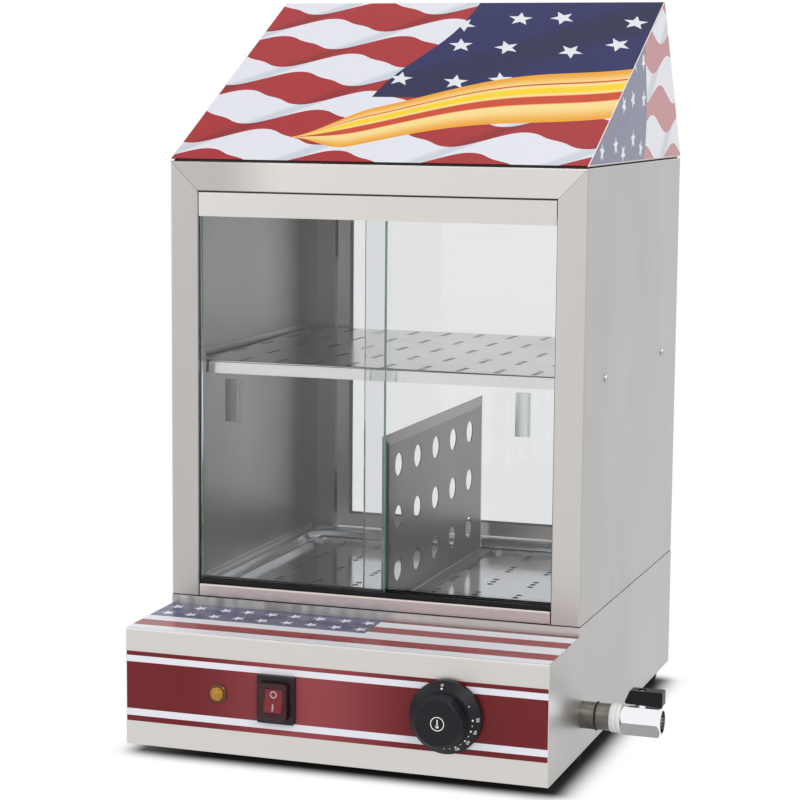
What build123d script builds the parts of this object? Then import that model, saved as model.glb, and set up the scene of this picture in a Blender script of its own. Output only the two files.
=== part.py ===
from build123d import *
from math import atan2, degrees, hypot
import os

# Counter-top hot dog steamer: a control and water box, a glazed steam cabinet and a sign header.
# Millimetres.  +X is to the right, +Y to the back and +Z up.  The origin lies on the counter,
# under the middle of the base.

# ---------------------------------------------------------------- overall sizes
width = 360.0
ledge_depth = 92.0
cabinet_depth = 346.0
foot_height = 16.0
ledge_front_rise = 98.5
ledge_rear_rise = 100.0
base_rise = 107.5
cabinet_rise = 369.0
header_gap = 1.5
header_rise = 138.5
header_apex_setback = 264.0
sheet = 1.0
thin_sheet = 0.8
inner_bend = 0.6
housing_bend = 2.0
film = 0.2
fit_gap = 0.3
running_gap = 0.05

half_width = width / 2
back_y = (ledge_depth + cabinet_depth) / 2
front_y = -back_y
cabinet_y = front_y + ledge_depth
base_z = foot_height
ledge_front_z = base_z + ledge_front_rise
ledge_rear_z = base_z + ledge_rear_rise
base_top_z = base_z + base_rise
seam_z = base_top_z + sheet
cabinet_top_z = seam_z + cabinet_rise
header_z = cabinet_top_z + header_gap
header_top_z = header_z + header_rise
header_apex_y = cabinet_y + header_apex_setback

# ---------------------------------------------------------------- cabinet frame
stile_width = 25.0
mitre_gap = 0.25
front_jamb_depth = 18.0
rear_jamb_depth = 15.0
opening_half = half_width - stile_width
rail_z = cabinet_top_z - stile_width

# ---------------------------------------------------------------- base, floor and water pan
bottom_flange = 12.0
cover_inset = 6.0
vent_length = 28.0
vent_width = 4.0
vent_columns = 7
vent_rows = 2
vent_pitch = 12.0
vent_row_pitch = 60.0
flange_side = 10.0
flange_front = 3.0
flange_rear = 17.0
pan_gap = 1.0
rim_setback = 0.5
pan_floor_rise = 19.0
pan_corner = 2.5
floor_upstand = 5.0
floor_border_side = 12.0
floor_border_front = 24.0
floor_border_rear = 19.0

# ---------------------------------------------------------------- tray, divider and shelf
tray_drop = 8.0
tray_gap = 1.5
tray_rim_side = 9.5
tray_rim_end = 4.5
tray_pitch_x = 37.0
tray_pitch_y = 56.5
tray_columns = 8
tray_rows = 5
slot_width = 6.0
slot_length = 26.0
divider_x = 0.5
divider_height = 147.5
divider_length = 286.0
divider_setback = 35.3
divider_foot = 14.0
divider_lip = 8.5
divider_flare = 2.0
divider_hole_radius = 10.0
divider_hole_pitch_y = 51.4
divider_hole_pitch_z = 45.6
divider_hole_margin = 33.9
divider_hole_rise = 28.0
divider_hole_columns = 5
divider_hole_rows = 3
shelf_rise = 199.5
shelf_flange = 10.0
shelf_side_gap = 3.5
shelf_setback = 21.0
shelf_rear_gap = 17.0
shelf_pitch_x = 32.4
shelf_pitch_y = 65.0
shelf_columns = 11
shelf_rows = 5
rail_leg = 14.0
rail_height = 15.0
rail_end_gap = 24.0
rail_screw_inset = 70.7
rail_screw_spacing = 213.2
rail_screw_rise = 5.3

# ---------------------------------------------------------------- sliding glass doors
sill_rise = 10.5
sill_depth = 20.5
guide_setback = 2.0
guide_rib = 1.5
guide_groove = 5.8
guide_base = 1.0
guide_height = 4.0
glass = 5.0
glass_lift_gap = 0.3
glass_side_gap = 0.5
glass_overlap = 20.0
glass_edge = 0.5
track_setback = 0.8
track_front_drop = 20.5
track_rear_drop = 12.0
upper_rib_drop = 14.0
glass_entry = 6.5
pull_width = 12.3
pull_height = 36.0
pull_depth = 2.0
pull_offset = 28.5
pull_rise = 158.3

# ---------------------------------------------------------------- rear door
door_gap = 1.5
door_frame_width = 12.5
door_frame_depth = 10.0
door_glass = 4.0
door_glass_bite = 8.0
gasket_lip = 1.0
hinge_height = 40.0
hinge_axis_offset = 3.6
hinge_knuckle_radius = 3.2
hinge_pin_radius = 1.5
hinge_leaf = 1.4
hinge_fixed_width = 20.0
hinge_screw_inset = 5.0
hinge_moving_width = 11.0
hinge_low_rise = 33.5
hinge_high_drop = 57.0
hinge_knuckle_gap = 0.4
magnet_height = 40.0
magnet_width = 10.0
magnet_depth = 4.7
door_knob_radius = 9.0
door_knob_length = 16.0

# ---------------------------------------------------------------- header
header_lip = 30.0
header_bolt_setback = 20.0
header_bolt_length = 7.0
header_gasket_inset = 2.5
header_gasket_width = 9.0
header_decal_margin = 0.6
header_bolt_inset = 40.0

# ---------------------------------------------------------------- front panel fittings
stripe_low = 20.5
stripe_high = 79.2
panel_row_rise = 50.5
lamp_inset = 82.0
lamp_collar_radius = 7.8
lamp_collar = 2.2
lamp_collar_chamfer = 1.0
lamp_barrel_radius = 6.2
lamp_barrel_length = 26.0
lamp_lens_radius = 5.6
lamp_lens_wall = 1.2
lamp_lens_dome = 2.4
lamp_seat = 0.8
switch_inset = 133.6
switch_body_width = 19.4
switch_body_height = 25.4
switch_body_depth = 17.0
switch_collar = 8.0
switch_collar_rim = 1.5
switch_window_margin = 2.8
switch_frame_side = 3.6
switch_frame_end = 4.3
switch_frame_depth = 4.6
switch_frame_corner = 2.0
switch_frame_chamfer = 0.9
blade_width = 4.8
blade_length = 8.0
blade = 0.8
blade_pitch = 7.0
lamp_blade_spacing = 5.2
splash_rise = 13.5
splash_wall = 0.8
rocker_width = 14.4
rocker_height = 18.6
rocker_pivot = 7.0
rocker_face_rise = 1.4
rocker_end_rise = 2.6
rocker_side_depth = 3.0
rocker_heel = 6.5
rocker_side_gap = 0.4
rocker_end_gap = 1.2
rocker_well = 4.0
rocker_rest_tilt = 9.0
rocker_pin_radius = 1.2
rocker_pin_length = 1.3
knob_inset = 82.5
knob_gap = 1.4
knob_radius = 29.6
knob_rim = 4.0
knob_skirt = 9.5
knob_neck_radius = 21.7
knob_cap_radius = 20.5
knob_reach = 26.5
knob_edge = 2.2
knob_wall = 3.0
knob_dish = 0.4
knob_flats = 3
knob_flat_depth = 1.8
knob_flat_turn = 55.0
knob_hub_depth = 14.0
knob_hub_radius = 8.5
knob_hub_bore = 6.0
spindle_radius = 3.0
spindle_depth = 12.0
bushing_radius = 5.0
thermostat_size = 46.0
thermostat_depth = 30.0
thermostat_screw_offset = 14.0
thermostat_corner = 4.0
thermostat_chamfer = 2.0
bulb_inset = 110.0
bulb_rise = 33.0
bulb_radius = 3.0
bulb_length = 90.0
bulb_flange = 4.0
capillary_radius = 0.9
capillary_reach = 24.0
capillary_rise = 4.0
capillary_bend = 9.0

# ---------------------------------------------------------------- heater and supply
element_radius = 4.2
element_rise = 44.0
element_left_inset = 64.0
element_right_inset = 70.0
element_leg_pitch = 54.0
element_rear_gap = 56.0
element_front_gap = 70.0
element_bend = 26.0
element_tail = 16.0
element_pin = 9.0
gland_wall = 1.5
bushing_hex = 19.0
bushing_tail = 7.0
bushing_nut = 5.0
bushing_flange = 3.0
block_length = 46.0
block_depth = 18.0
block_height = 15.0
block_wall = 2.0
block_bore = 2.5
block_floor_share = 0.6
block_bore_share = 0.35
block_ways = 3
block_inset = 60.0
block_setback = 40.0
gland_inset = 50.0
gland_rise = 40.0
gland_bore = 4.0
gland_thread_radius = 8.0
gland_tail = 9.0
gland_hex = 22.0
gland_hex_length = 6.0
gland_dome_length = 12.0
gland_nut = 4.0

# ---------------------------------------------------------------- fasteners and feet
screw_radius = 2.0
screw_head_radius = 3.6
screw_head = 2.0
foot_top_radius = 15.0
foot_bottom_radius = 12.0
foot_recess_radius = 6.0
foot_recess_depth = 5.0
foot_inset_side = 20.0
foot_inset_rear = 22.0
foot_setback = 40.0
cover_screw_inset = 9.0
cover_screw_pitch = 150.0

# ---------------------------------------------------------------- drain and ball valve
drain_setback = 15.0
drain_rise = 32.0
drain_reach = 11.4
drain_pipe_radius = 11.1
drain_spigot_radius = 9.0
drain_bore = 7.5
oring_width = 1.8
oring_radius = 12.0
nipple_length = 11.0
tape_length = 9.4
tape_radius = 12.0
tape_edge = 0.7
tape_shoulder = 1.2
tape_shoulder_ease = 0.15
tape_end = 1.5
tape_end_ease = 0.4
nipple_ease = 0.1
thread_radius = 10.4
valve_across_flats = 23.6
valve_crown_ratio = 1.15
valve_chamfer = 2.0
valve_length = 33.0
valve_inlet_depth = 8.0
valve_outlet_radius = 9.3
valve_outlet_depth = 9.6
ball_radius = 8.0
ball_bore = 5.0
ball_slot_length = 8.0
ball_slot_width = 2.4
ball_slot_depth = 2.0
seat_reach = 5.0
seat_wall = 0.5
chamber_gap = 0.6
stem_radius = 3.0
stem_foot_gap = 0.2
stem_tongue_length = 4.8
stem_tongue_width = 2.2
stem_tongue_depth = 1.6
stem_flats_width = 4.0
stem_boss_radius = 5.5
stem_boss = 2.0
lever_length_out = 18.0
lever_length_in = 13.7
lever_width = 12.0
lever_lift = 14.2
lever_height = 11.0
lever_slope = 4.5
lever_flare = 0.4
lever_droop = 1.2
lever_rounding = 1.6
lever_relief = 1.0
lever_socket_share = 0.55
lever_screw_bore = 1.5
lever_screw_head_radius = 3.0
lever_screw_head = 1.8
lever_counterbore_radius = 3.4
lever_counterbore = 2.4


# ---------------------------------------------------------------- drawing helpers
def along_x(face, start, end):
    """Extrude a section drawn as (y, z)."""
    return extrude(Plane.YZ.offset(start) * face, amount=end - start)


def along_y(face, start, end):
    """Extrude a section drawn as (x, z)."""
    return extrude(Plane.XZ.offset(-end) * face, amount=end - start)


def along_z(face, start, end):
    """Extrude a section drawn as (x, y)."""
    return extrude(Plane.XY.offset(start) * face, amount=end - start)


def polygon(*points):
    return make_face(Polyline(*points, close=True))


def rectangle(low, high):
    """Rectangle between two opposite corners."""
    middle = Pos((low[0] + high[0]) / 2, (low[1] + high[1]) / 2)
    return middle * Rectangle(high[0] - low[0], high[1] - low[1])


def rounded(low, high, radius):
    """Rectangle between two opposite corners, with round corners."""
    middle = Pos((low[0] + high[0]) / 2, (low[1] + high[1]) / 2)
    return middle * RectangleRounded(high[0] - low[0], high[1] - low[1], radius)


def turned_about_x(profile, x, y, z):
    """Revolve a profile drawn as (distance along +X, radius)."""
    return Pos(x, y, z) * revolve(profile, Axis.X)


def turned_about_y(profile, x, y, z):
    """Revolve a profile drawn as (radius, distance along +Y)."""
    return Pos(x, y, z) * revolve(profile, Axis.Y)


def turned_about_z(profile, x, y, z):
    """Revolve a profile drawn as (radius, height)."""
    return Pos(x, y, z) * revolve(Plane.XZ * profile, Axis.Z)


def rod_x(radius, start, end, y, z):
    return along_x(Pos(y, z) * Circle(radius), start, end)


def rod_y(radius, start, end, x, z):
    return along_y(Pos(x, z) * Circle(radius), start, end)


def rod_z(radius, start, end, x, y):
    return along_z(Pos(x, y) * Circle(radius), start, end)


def shifted(points, gap):
    """Corners of an open line moved to its left by a gap."""
    runs = []
    for start, end in zip(points, points[1:]):
        length = hypot(end[0] - start[0], end[1] - start[1])
        step = ((end[0] - start[0]) / length, (end[1] - start[1]) / length)
        runs.append(((start[0] - step[1] * gap, start[1] + step[0] * gap), step, length))
    corners = [runs[0][0]]
    for (first, along, _), (second, onward, _) in zip(runs, runs[1:]):
        turn = along[0] * onward[1] - along[1] * onward[0]
        across = (second[0] - first[0]) * onward[1] - (second[1] - first[1]) * onward[0]
        corners.append((first[0] + along[0] * across / turn, first[1] + along[1] * across / turn))
    last, step, length = runs[-1]
    corners.append((last[0] + step[0] * length, last[1] + step[1] * length))
    return corners


def folded(points, thickness=sheet):
    """Section of a folded sheet, which lies to the left of the line through the points."""
    inner = shifted(points, thickness)
    outer_radii = []
    inner_radii = []
    for before, corner, after in zip(points, points[1:], points[2:]):
        turn = (corner[0] - before[0]) * (after[1] - corner[1])
        turn -= (corner[1] - before[1]) * (after[0] - corner[0])
        outer_radii.append(inner_bend + thickness if turn > 0 else inner_bend)
        inner_radii.append(inner_bend if turn > 0 else inner_bend + thickness)
    outline = FilletPolyline(*points, radius=outer_radii)
    outline += FilletPolyline(*inner, radius=inner_radii)
    outline += Line(points[0], inner[0]) + Line(points[-1], inner[-1])
    return make_face(outline)


def grid(columns, rows, pitch_x, pitch_y):
    """Places of a centred grid."""
    places = []
    for row in range(rows):
        for column in range(columns):
            x = (column - (columns - 1) / 2) * pitch_x
            y = (row - (rows - 1) / 2) * pitch_y
            places.append((x, y))
    return places


def screw_profile(length, radius=screw_radius, head_radius=screw_head_radius, head=screw_head):
    """Half profile of a cheese-head screw: its seat at 0, its head above and its shank below."""
    return rectangle((0, -length), (radius, 0)) + rectangle((0, 0), (head_radius, head))


# ---------------------------------------------------------------- base
def base_section(inset, low_z):
    """Side outline of the base, drawn as (y, z)."""
    return polygon(
        (front_y + inset, low_z),
        (front_y + inset, ledge_front_z - inset),
        (cabinet_y + inset, ledge_rear_z - inset),
        (cabinet_y + inset, base_top_z - inset),
        (back_y - inset, base_top_z - inset),
        (back_y - inset, low_z),
    )


drain_y = cabinet_y + drain_setback
drain_z = base_z + drain_rise
panel_z = base_z + panel_row_rise
lamp_x = lamp_inset - half_width
switch_x = switch_inset - half_width
knob_x = half_width - knob_inset
bulb_x = half_width - bulb_inset
bulb_z = base_z + bulb_rise
block_x = block_inset - half_width
gland_x = gland_inset - half_width
gland_z = base_z + gland_rise
element_left_x = element_left_inset - half_width
element_inner_x = element_left_x + element_leg_pitch
element_right_x = half_width - element_right_inset
element_z = base_z + element_rise
fitting_y = front_y - film
foot_places = []
for foot_side in (-1, 1):
    for foot_y in (cabinet_y + foot_setback, back_y - foot_inset_rear):
        foot_places.append((foot_side * (half_width - foot_inset_side), foot_y))
cover_screw_places = []
for cover_side in (-1, 1):
    for cover_row in (-1, 0, 1):
        screw_x = cover_side * (half_width - cover_screw_inset)
        cover_screw_places.append((screw_x, cover_row * cover_screw_pitch))
pan_half = half_width - flange_side - pan_gap
pan_front_y = cabinet_y + flange_front + pan_gap
pan_rear_y = back_y - flange_rear - pan_gap
pan_floor_z = base_z + pan_floor_rise


def base_housing():
    section = base_section(0, base_z)
    section = fillet(section.vertices().group_by(Axis.X)[0], housing_bend)
    section = fillet(section.vertices().group_by(Axis.X)[-1], housing_bend)
    housing = along_x(section, -half_width, half_width)
    cavity = along_x(base_section(sheet, base_z + sheet), sheet - half_width, half_width - sheet)
    flange_x = half_width - bottom_flange
    underside = rectangle((-flange_x, front_y + bottom_flange), (flange_x, back_y - bottom_flange))
    mouth_x = half_width - flange_side
    mouth = rectangle((-mouth_x, cabinet_y + flange_front), (mouth_x, back_y - flange_rear))
    housing -= cavity
    housing -= along_z(underside, base_z - sheet, base_z + 2 * sheet)
    housing -= along_z(mouth, base_top_z - 2 * sheet, base_top_z + sheet)
    housing -= panel_cutouts(front_y - sheet, front_y + 2 * sheet)
    pipe_hole = drain_pipe_radius + fit_gap
    gland_hole = gland_thread_radius + fit_gap
    housing -= rod_x(pipe_hole, half_width - 2 * sheet, half_width + sheet, drain_y, drain_z)
    housing -= rod_y(gland_hole, back_y - 2 * sheet, back_y + sheet, gland_x, gland_z)
    for x, y in cover_screw_places:
        housing -= rod_z(screw_radius + fit_gap, base_z - sheet, base_z + 2 * sheet, x, y)
    return housing


def panel_cutouts(start, end):
    """Holes for the lamp, the switch and the thermostat."""
    holes = rod_y(lamp_barrel_radius + fit_gap, start, end, lamp_x, panel_z)
    holes += along_y(centred(switch_body_width + 2 * fit_gap, switch_body_height + 2 * fit_gap), start, end)
    holes += rod_y(bushing_radius + fit_gap, start, end, knob_x, panel_z)
    for side in (-1, 1):
        x = knob_x + side * thermostat_screw_offset
        holes += rod_y(screw_radius + fit_gap, start, end, x, panel_z)
    return holes


def bottom_cover():
    low = (cover_inset - half_width, front_y + cover_inset)
    high = (half_width - cover_inset, back_y - cover_inset)
    plate = along_z(rounded(low, high, cover_inset), base_z - sheet, base_z)
    vents = Sketch()
    for x, y in grid(vent_rows, vent_columns, vent_row_pitch, vent_pitch):
        vents += Pos(x, y) * Rectangle(vent_length, vent_width)
    plate -= along_z(vents, base_z - 2 * sheet, base_z + sheet)
    for x, y in cover_screw_places + foot_places:
        plate -= rod_z(screw_radius + fit_gap, base_z - 2 * sheet, base_z + sheet, x, y)
    return plate


def rubber_feet():
    """Tapered feet, each with a recess that hides its screw."""
    height = base_z - sheet
    hole = screw_radius + fit_gap
    profile = polygon(
        (foot_recess_radius, 0),
        (foot_bottom_radius, 0),
        (foot_top_radius, height),
        (hole, height),
        (hole, foot_recess_depth),
        (foot_recess_radius, foot_recess_depth),
    )
    return [turned_about_z(profile, x, y, 0) for x, y in foot_places]


def underside_screws():
    """Screws of the cover and of the feet, their heads down."""
    screws = []
    flip = Rot(180, 0, 0)
    for x, y in cover_screw_places:
        body = turned_about_z(screw_profile(7 * sheet), 0, 0, 0)
        screws.append(Pos(x, y, base_z - sheet) * flip * body)
    for x, y in foot_places:
        length = base_z - foot_recess_depth + 4 * sheet
        body = turned_about_z(screw_profile(length), 0, 0, 0)
        screws.append(Pos(x, y, foot_recess_depth) * flip * body)
    return screws


def water_pan():
    rim_low = (rim_setback - half_width, cabinet_y + rim_setback)
    rim_high = (half_width - rim_setback, back_y - rim_setback)
    pan = along_z(rectangle(rim_low, rim_high), base_top_z, seam_z)
    well = rounded((-pan_half, pan_front_y), (pan_half, pan_rear_y), pan_corner)
    well = along_z(well, pan_floor_z, seam_z)
    well = fillet(well.edges().group_by(Axis.Z)[0], pan_corner - sheet / 2)
    low = (sheet - pan_half, pan_front_y + sheet)
    high = (pan_half - sheet, pan_rear_y - sheet)
    hollow = along_z(rounded(low, high, pan_corner - sheet), pan_floor_z + sheet, seam_z + sheet)
    pan = pan + well - hollow
    pan -= rod_x(drain_spigot_radius, pan_half - 2 * sheet, pan_half + sheet, drain_y, drain_z)
    start = pan_front_y - sheet
    end = pan_front_y + 2 * sheet
    for x in (element_left_x, element_inner_x):
        pan -= rod_y(element_radius + gland_wall, start, end, x, element_z)
    return pan - rod_y(bulb_radius + gland_wall, start, end, bulb_x, bulb_z)


# ---------------------------------------------------------------- cabinet shell
floor_half = half_width - sheet
floor_z = seam_z + sheet
floor_front_y = cabinet_y + floor_border_front
floor_rear_y = back_y - floor_border_rear
floor_hole_half = half_width - floor_border_side


def cabinet_floor():
    """Floor plate with a steam opening, upstands at its sides and tongues between the jambs."""
    top = seam_z + floor_upstand
    line = [(-floor_half, top), (-floor_half, seam_z), (floor_half, seam_z), (floor_half, top)]
    front = cabinet_y + front_jamb_depth + fit_gap
    rear = back_y - rear_jamb_depth - fit_gap
    tongue = opening_half - fit_gap
    plate = along_y(folded(line), front, rear)
    tongues = rectangle((-tongue, cabinet_y + sheet + fit_gap), (tongue, back_y - fit_gap))
    plate += along_z(tongues, seam_z, floor_z)
    hole = rectangle((-floor_hole_half, floor_front_y), (floor_hole_half, floor_rear_y))
    return plate - along_z(hole, seam_z - sheet, floor_z + sheet)


def mitre_offset():
    """How far each side of the mitre stands back from the line at 45 degrees, along Z."""
    return mitre_gap * 2 ** 0.5 / 2


def frame_zones():
    """Depths over which the front and rear folds of the frame lie."""
    return [(cabinet_y - sheet, cabinet_y + front_jamb_depth + sheet),
            (back_y - rear_jamb_depth - sheet, back_y + sheet)]


def side_panel(side):
    """Side sheet with the stiles and jambs folded from it, mitred at the top corners."""
    line = [
        (opening_half, cabinet_y + front_jamb_depth),
        (opening_half, cabinet_y),
        (half_width, cabinet_y),
        (half_width, back_y),
        (opening_half, back_y),
        (opening_half, back_y - rear_jamb_depth),
    ]
    top = cabinet_top_z - sheet
    panel = along_z(folded(line), seam_z, top)
    inner_x = half_width - sheet
    far_x = opening_half - sheet
    drop = cabinet_top_z - half_width - mitre_offset()
    corner = polygon(
        (inner_x, top + sheet),
        (inner_x, inner_x + drop),
        (far_x, far_x + drop),
        (far_x, top + sheet),
    )
    for start, end in frame_zones():
        panel -= along_y(corner, start, end)
    for y in rail_screw_ys:
        panel -= rod_x(screw_radius + fit_gap, inner_x - sheet, half_width + sheet, y, rail_screw_z)
    if side > 0:
        return panel
    panel = mirror(panel, about=Plane.YZ)
    for x, z in hinge_screw_places():
        panel -= rod_y(screw_radius, back_y - 2 * sheet, back_y + sheet, x, z)
    return panel


def top_panel():
    """Top sheet with the front and rear rails folded down from it."""
    line = [
        (back_y - rear_jamb_depth, rail_z),
        (back_y, rail_z),
        (back_y, cabinet_top_z),
        (cabinet_y, cabinet_top_z),
        (cabinet_y, rail_z),
        (cabinet_y + front_jamb_depth, rail_z),
    ]
    panel = along_x(folded(line), -half_width, half_width)
    rise = cabinet_top_z - half_width + mitre_offset()
    near_x = opening_half - mitre_offset()
    under = cabinet_top_z - sheet
    corner = polygon(
        (near_x, near_x + rise),
        (under - rise, under),
        (half_width + sheet, under),
        (half_width + sheet, rail_z - sheet),
        (near_x, rail_z - sheet),
    )
    for start, end in frame_zones():
        for part in (corner, mirror(corner, about=Plane.YZ)):
            panel -= along_y(part, start, end)
    for x, y in header_bolt_places:
        panel -= rod_z(screw_radius + fit_gap, under - sheet, cabinet_top_z + sheet, x, y)
    return panel


# ---------------------------------------------------------------- sliding doors
sill_z = seam_z + sill_rise
guide_half = opening_half - fit_gap
groove_pitch = guide_rib + guide_groove
front_groove_y = cabinet_y + guide_setback + guide_rib + guide_groove / 2
rear_groove_y = front_groove_y + groove_pitch
guide_depth = 2 * groove_pitch + guide_rib
glass_low_z = sill_z + guide_base + glass_lift_gap
glass_high_z = rail_z - glass_entry
glass_width = opening_half + glass_overlap / 2 - glass_side_gap


def front_sill():
    """Inverted channel under the doors."""
    rear = cabinet_y + sill_depth
    line = [(rear, floor_z), (rear, sill_z), (cabinet_y, sill_z), (cabinet_y, seam_z + fit_gap)]
    sill = along_x(folded(line), -guide_half, guide_half)
    return fillet(sill.faces().sort_by(Axis.Z)[-1].edges().filter_by(Axis.Y), sheet * 0.8)


def comb_section(root_z, base, reach):
    """Double-groove guide: a base at root_z, its corners eased, and three ribs away from it."""
    start = cabinet_y + guide_setback
    end = start + guide_depth
    ease = inner_bend if base > 0 else -inner_bend
    section = polygon(
        (start + inner_bend, root_z),
        (end - inner_bend, root_z),
        (end, root_z + ease),
        (end, root_z + base),
        (start, root_z + base),
        (start, root_z + ease),
    )
    low, high = sorted((root_z + ease, root_z + reach))
    for rib in range(3):
        near = start + rib * groove_pitch
        section += rectangle((near, low), (near + guide_rib, high))
    return section


def door_guides():
    """Plastic guides in the sill and in the upper track."""
    lower = along_x(comb_section(sill_z, guide_base, guide_height), -guide_half, guide_half)
    hung = comb_section(rail_z - sheet, -guide_base, -upper_rib_drop)
    upper = along_x(hung, -guide_half, guide_half)
    return [lower, upper]


def upper_track():
    """Channel that hides the tops of the doors."""
    front = cabinet_y + track_setback
    rear = cabinet_y + guide_setback + guide_depth + sheet + fit_gap / 2
    line = [
        (rear, rail_z - track_rear_drop),
        (rear, rail_z),
        (front, rail_z),
        (front, rail_z - track_front_drop),
    ]
    return along_x(folded(line), -guide_half, guide_half)


def door_glass_pane(side, centre_y):
    """Sliding pane with ground edges and a finger groove ground into its face."""
    outer_x = opening_half - glass_side_gap
    low_x, high_x = sorted((side * outer_x, side * (outer_x - glass_width)))
    front = centre_y - glass / 2
    pane = along_y(rectangle((low_x, glass_low_z), (high_x, glass_high_z)), front, front + glass)
    pane = chamfer(pane.faces().filter_by(Axis.Y).edges(), glass_edge)
    groove_radius = (pull_width ** 2 / (8 * pull_depth)) + pull_depth / 2
    pull_x = side * (outer_x - pull_offset)
    groove_z = sill_z + pull_rise - pull_height / 2
    groove_y = front + pull_depth - groove_radius
    return pane - rod_z(groove_radius, groove_z, groove_z + pull_height, pull_x, groove_y)


# ---------------------------------------------------------------- shelf, tray and divider
shelf_top_z = floor_z + shelf_rise - sheet
shelf_half = half_width - 2 * sheet - shelf_side_gap
shelf_front_y = cabinet_y + shelf_setback
shelf_rear_y = back_y - shelf_rear_gap
rail_screw_ys = (cabinet_y + rail_screw_inset, cabinet_y + rail_screw_inset + rail_screw_spacing)
rail_top_z = shelf_top_z - shelf_flange
rail_screw_z = rail_top_z + rail_screw_rise
tray_thick = thin_sheet
tray_half = floor_hole_half - tray_gap
tray_front_y = floor_front_y + tray_gap
tray_rear_y = floor_rear_y - tray_gap
tray_floor_z = floor_z - tray_drop
divider_low_z = tray_floor_z + fit_gap
divider_high_z = divider_low_z + divider_height
divider_start = cabinet_y + divider_setback
divider_end = divider_start + divider_length


def slots(columns, rows, pitch_x, pitch_y, middle_y):
    """Short slots on a grid."""
    pattern = Sketch()
    for x, y in grid(columns, rows, pitch_x, pitch_y):
        pattern += Pos(x, middle_y + y) * Rectangle(slot_width, slot_length)
    return pattern


def middle_shelf():
    """Perforated shelf with a flange turned down on each side."""
    outline = rectangle((-shelf_half, shelf_front_y), (shelf_half, shelf_rear_y))
    shelf = along_z(outline, shelf_top_z - shelf_flange, shelf_top_z)
    shelf = fillet(shelf.edges().group_by(Axis.Z)[-1], inner_bend + sheet)
    low = (sheet - shelf_half, shelf_front_y + sheet)
    high = (shelf_half - sheet, shelf_rear_y - sheet)
    shelf -= along_z(rectangle(low, high), shelf_top_z - shelf_flange - sheet, shelf_top_z - sheet)
    middle_y = (shelf_front_y + shelf_rear_y) / 2
    pattern = slots(shelf_columns, shelf_rows, shelf_pitch_x, shelf_pitch_y, middle_y)
    return shelf - along_z(pattern, shelf_top_z - 2 * sheet, shelf_top_z + sheet)


def shelf_rails():
    """Angle rails under the shelf, screwed to the side panels."""
    wall_x = half_width - sheet
    line = [
        (wall_x - rail_leg, rail_top_z - sheet),
        (wall_x, rail_top_z - sheet),
        (wall_x, rail_top_z - sheet + rail_height),
    ]
    start = cabinet_y + rail_end_gap
    end = back_y - rail_end_gap
    right = along_y(folded(line), start, end)
    for y in rail_screw_ys:
        right -= rod_x(screw_radius, wall_x - 2 * sheet, wall_x + sheet, y, rail_screw_z)
    return [mirror(right, about=Plane.YZ), right]


def lower_tray():
    """Perforated tray that hangs in the floor opening by its rim."""
    low = (-tray_half, tray_front_y)
    high = (tray_half, tray_rear_y)
    rim_low = (low[0] - tray_rim_side, low[1] - tray_rim_end)
    rim_high = (high[0] + tray_rim_side, high[1] + tray_rim_end)
    tray = along_z(rounded(rim_low, rim_high, 3 * tray_thick), floor_z, floor_z + tray_thick)
    well = along_z(rounded(low, high, 3 * tray_thick), tray_floor_z - tray_thick, floor_z + tray_thick)
    tray += fillet(well.edges().group_by(Axis.Z)[0], 1.5 * tray_thick)
    inner_low = (low[0] + tray_thick, low[1] + tray_thick)
    inner_high = (high[0] - tray_thick, high[1] - tray_thick)
    hollow = rounded(inner_low, inner_high, 2 * tray_thick)
    tray -= along_z(hollow, tray_floor_z, floor_z + 2 * tray_thick)
    middle_y = (tray_front_y + tray_rear_y) / 2
    pattern = slots(tray_columns, tray_rows, tray_pitch_x, tray_pitch_y, middle_y)
    return tray - along_z(pattern, tray_floor_z - 2 * tray_thick, tray_floor_z + tray_thick)


def divider_bulk(face_x):
    """Shallow frustum: its small face, inside the lips, lies at face_x, and it widens to the left."""
    low = (divider_start + divider_lip, divider_low_z)
    high = (divider_end - divider_lip, divider_high_z - divider_lip)
    wide_low = (divider_start - divider_lip, divider_low_z)
    wide_high = (divider_end + divider_lip, divider_high_z + divider_lip)
    wide = Plane.YZ.offset(face_x - 2 * divider_flare) * rectangle(wide_low, wide_high)
    small = Plane.YZ.offset(face_x) * rectangle(low, high)
    return loft([wide, small])


def divider():
    """Upright perforated plate with mitred lips on three sides, bent to the left, and a foot to the right."""
    plate = divider_bulk(divider_x + sheet) - divider_bulk(divider_x)
    outline = rectangle((divider_start, divider_low_z), (divider_end, divider_high_z))
    plate &= along_x(outline, divider_x - 2 * divider_flare, divider_x + sheet)
    line = [
        (divider_x, divider_low_z + divider_lip),
        (divider_x, divider_low_z),
        (divider_x + divider_foot, divider_low_z),
    ]
    plate += along_y(folded(line), divider_start + divider_lip, divider_end - divider_lip)
    for column in range(divider_hole_columns):
        y = divider_start + divider_hole_margin + column * divider_hole_pitch_y
        for row in range(divider_hole_rows):
            z = divider_low_z + divider_hole_rise + row * divider_hole_pitch_z
            plate -= rod_x(divider_hole_radius, divider_x - sheet, divider_x + 2 * sheet, y, z)
    return plate


# ---------------------------------------------------------------- rear door
door_half = opening_half - door_gap
door_low_z = floor_z + door_gap
door_high_z = rail_z - door_gap
door_front_y = back_y - door_frame_depth
hinge_x = -(opening_half - door_gap / 2)
hinge_y = back_y + hinge_axis_offset
hinge_zs = (floor_z + hinge_low_rise, rail_z - hinge_high_drop)


def door_rectangle(inset):
    return rectangle((inset - door_half, door_low_z + inset), (door_half - inset, door_high_z - inset))


def rear_door_frame():
    """Channel frame with its opening to the glass."""
    ring = door_rectangle(0) - door_rectangle(door_frame_width)
    frame = along_y(ring, door_front_y, back_y)
    return frame - along_y(door_rectangle(sheet), door_front_y + sheet, back_y - sheet)


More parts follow.
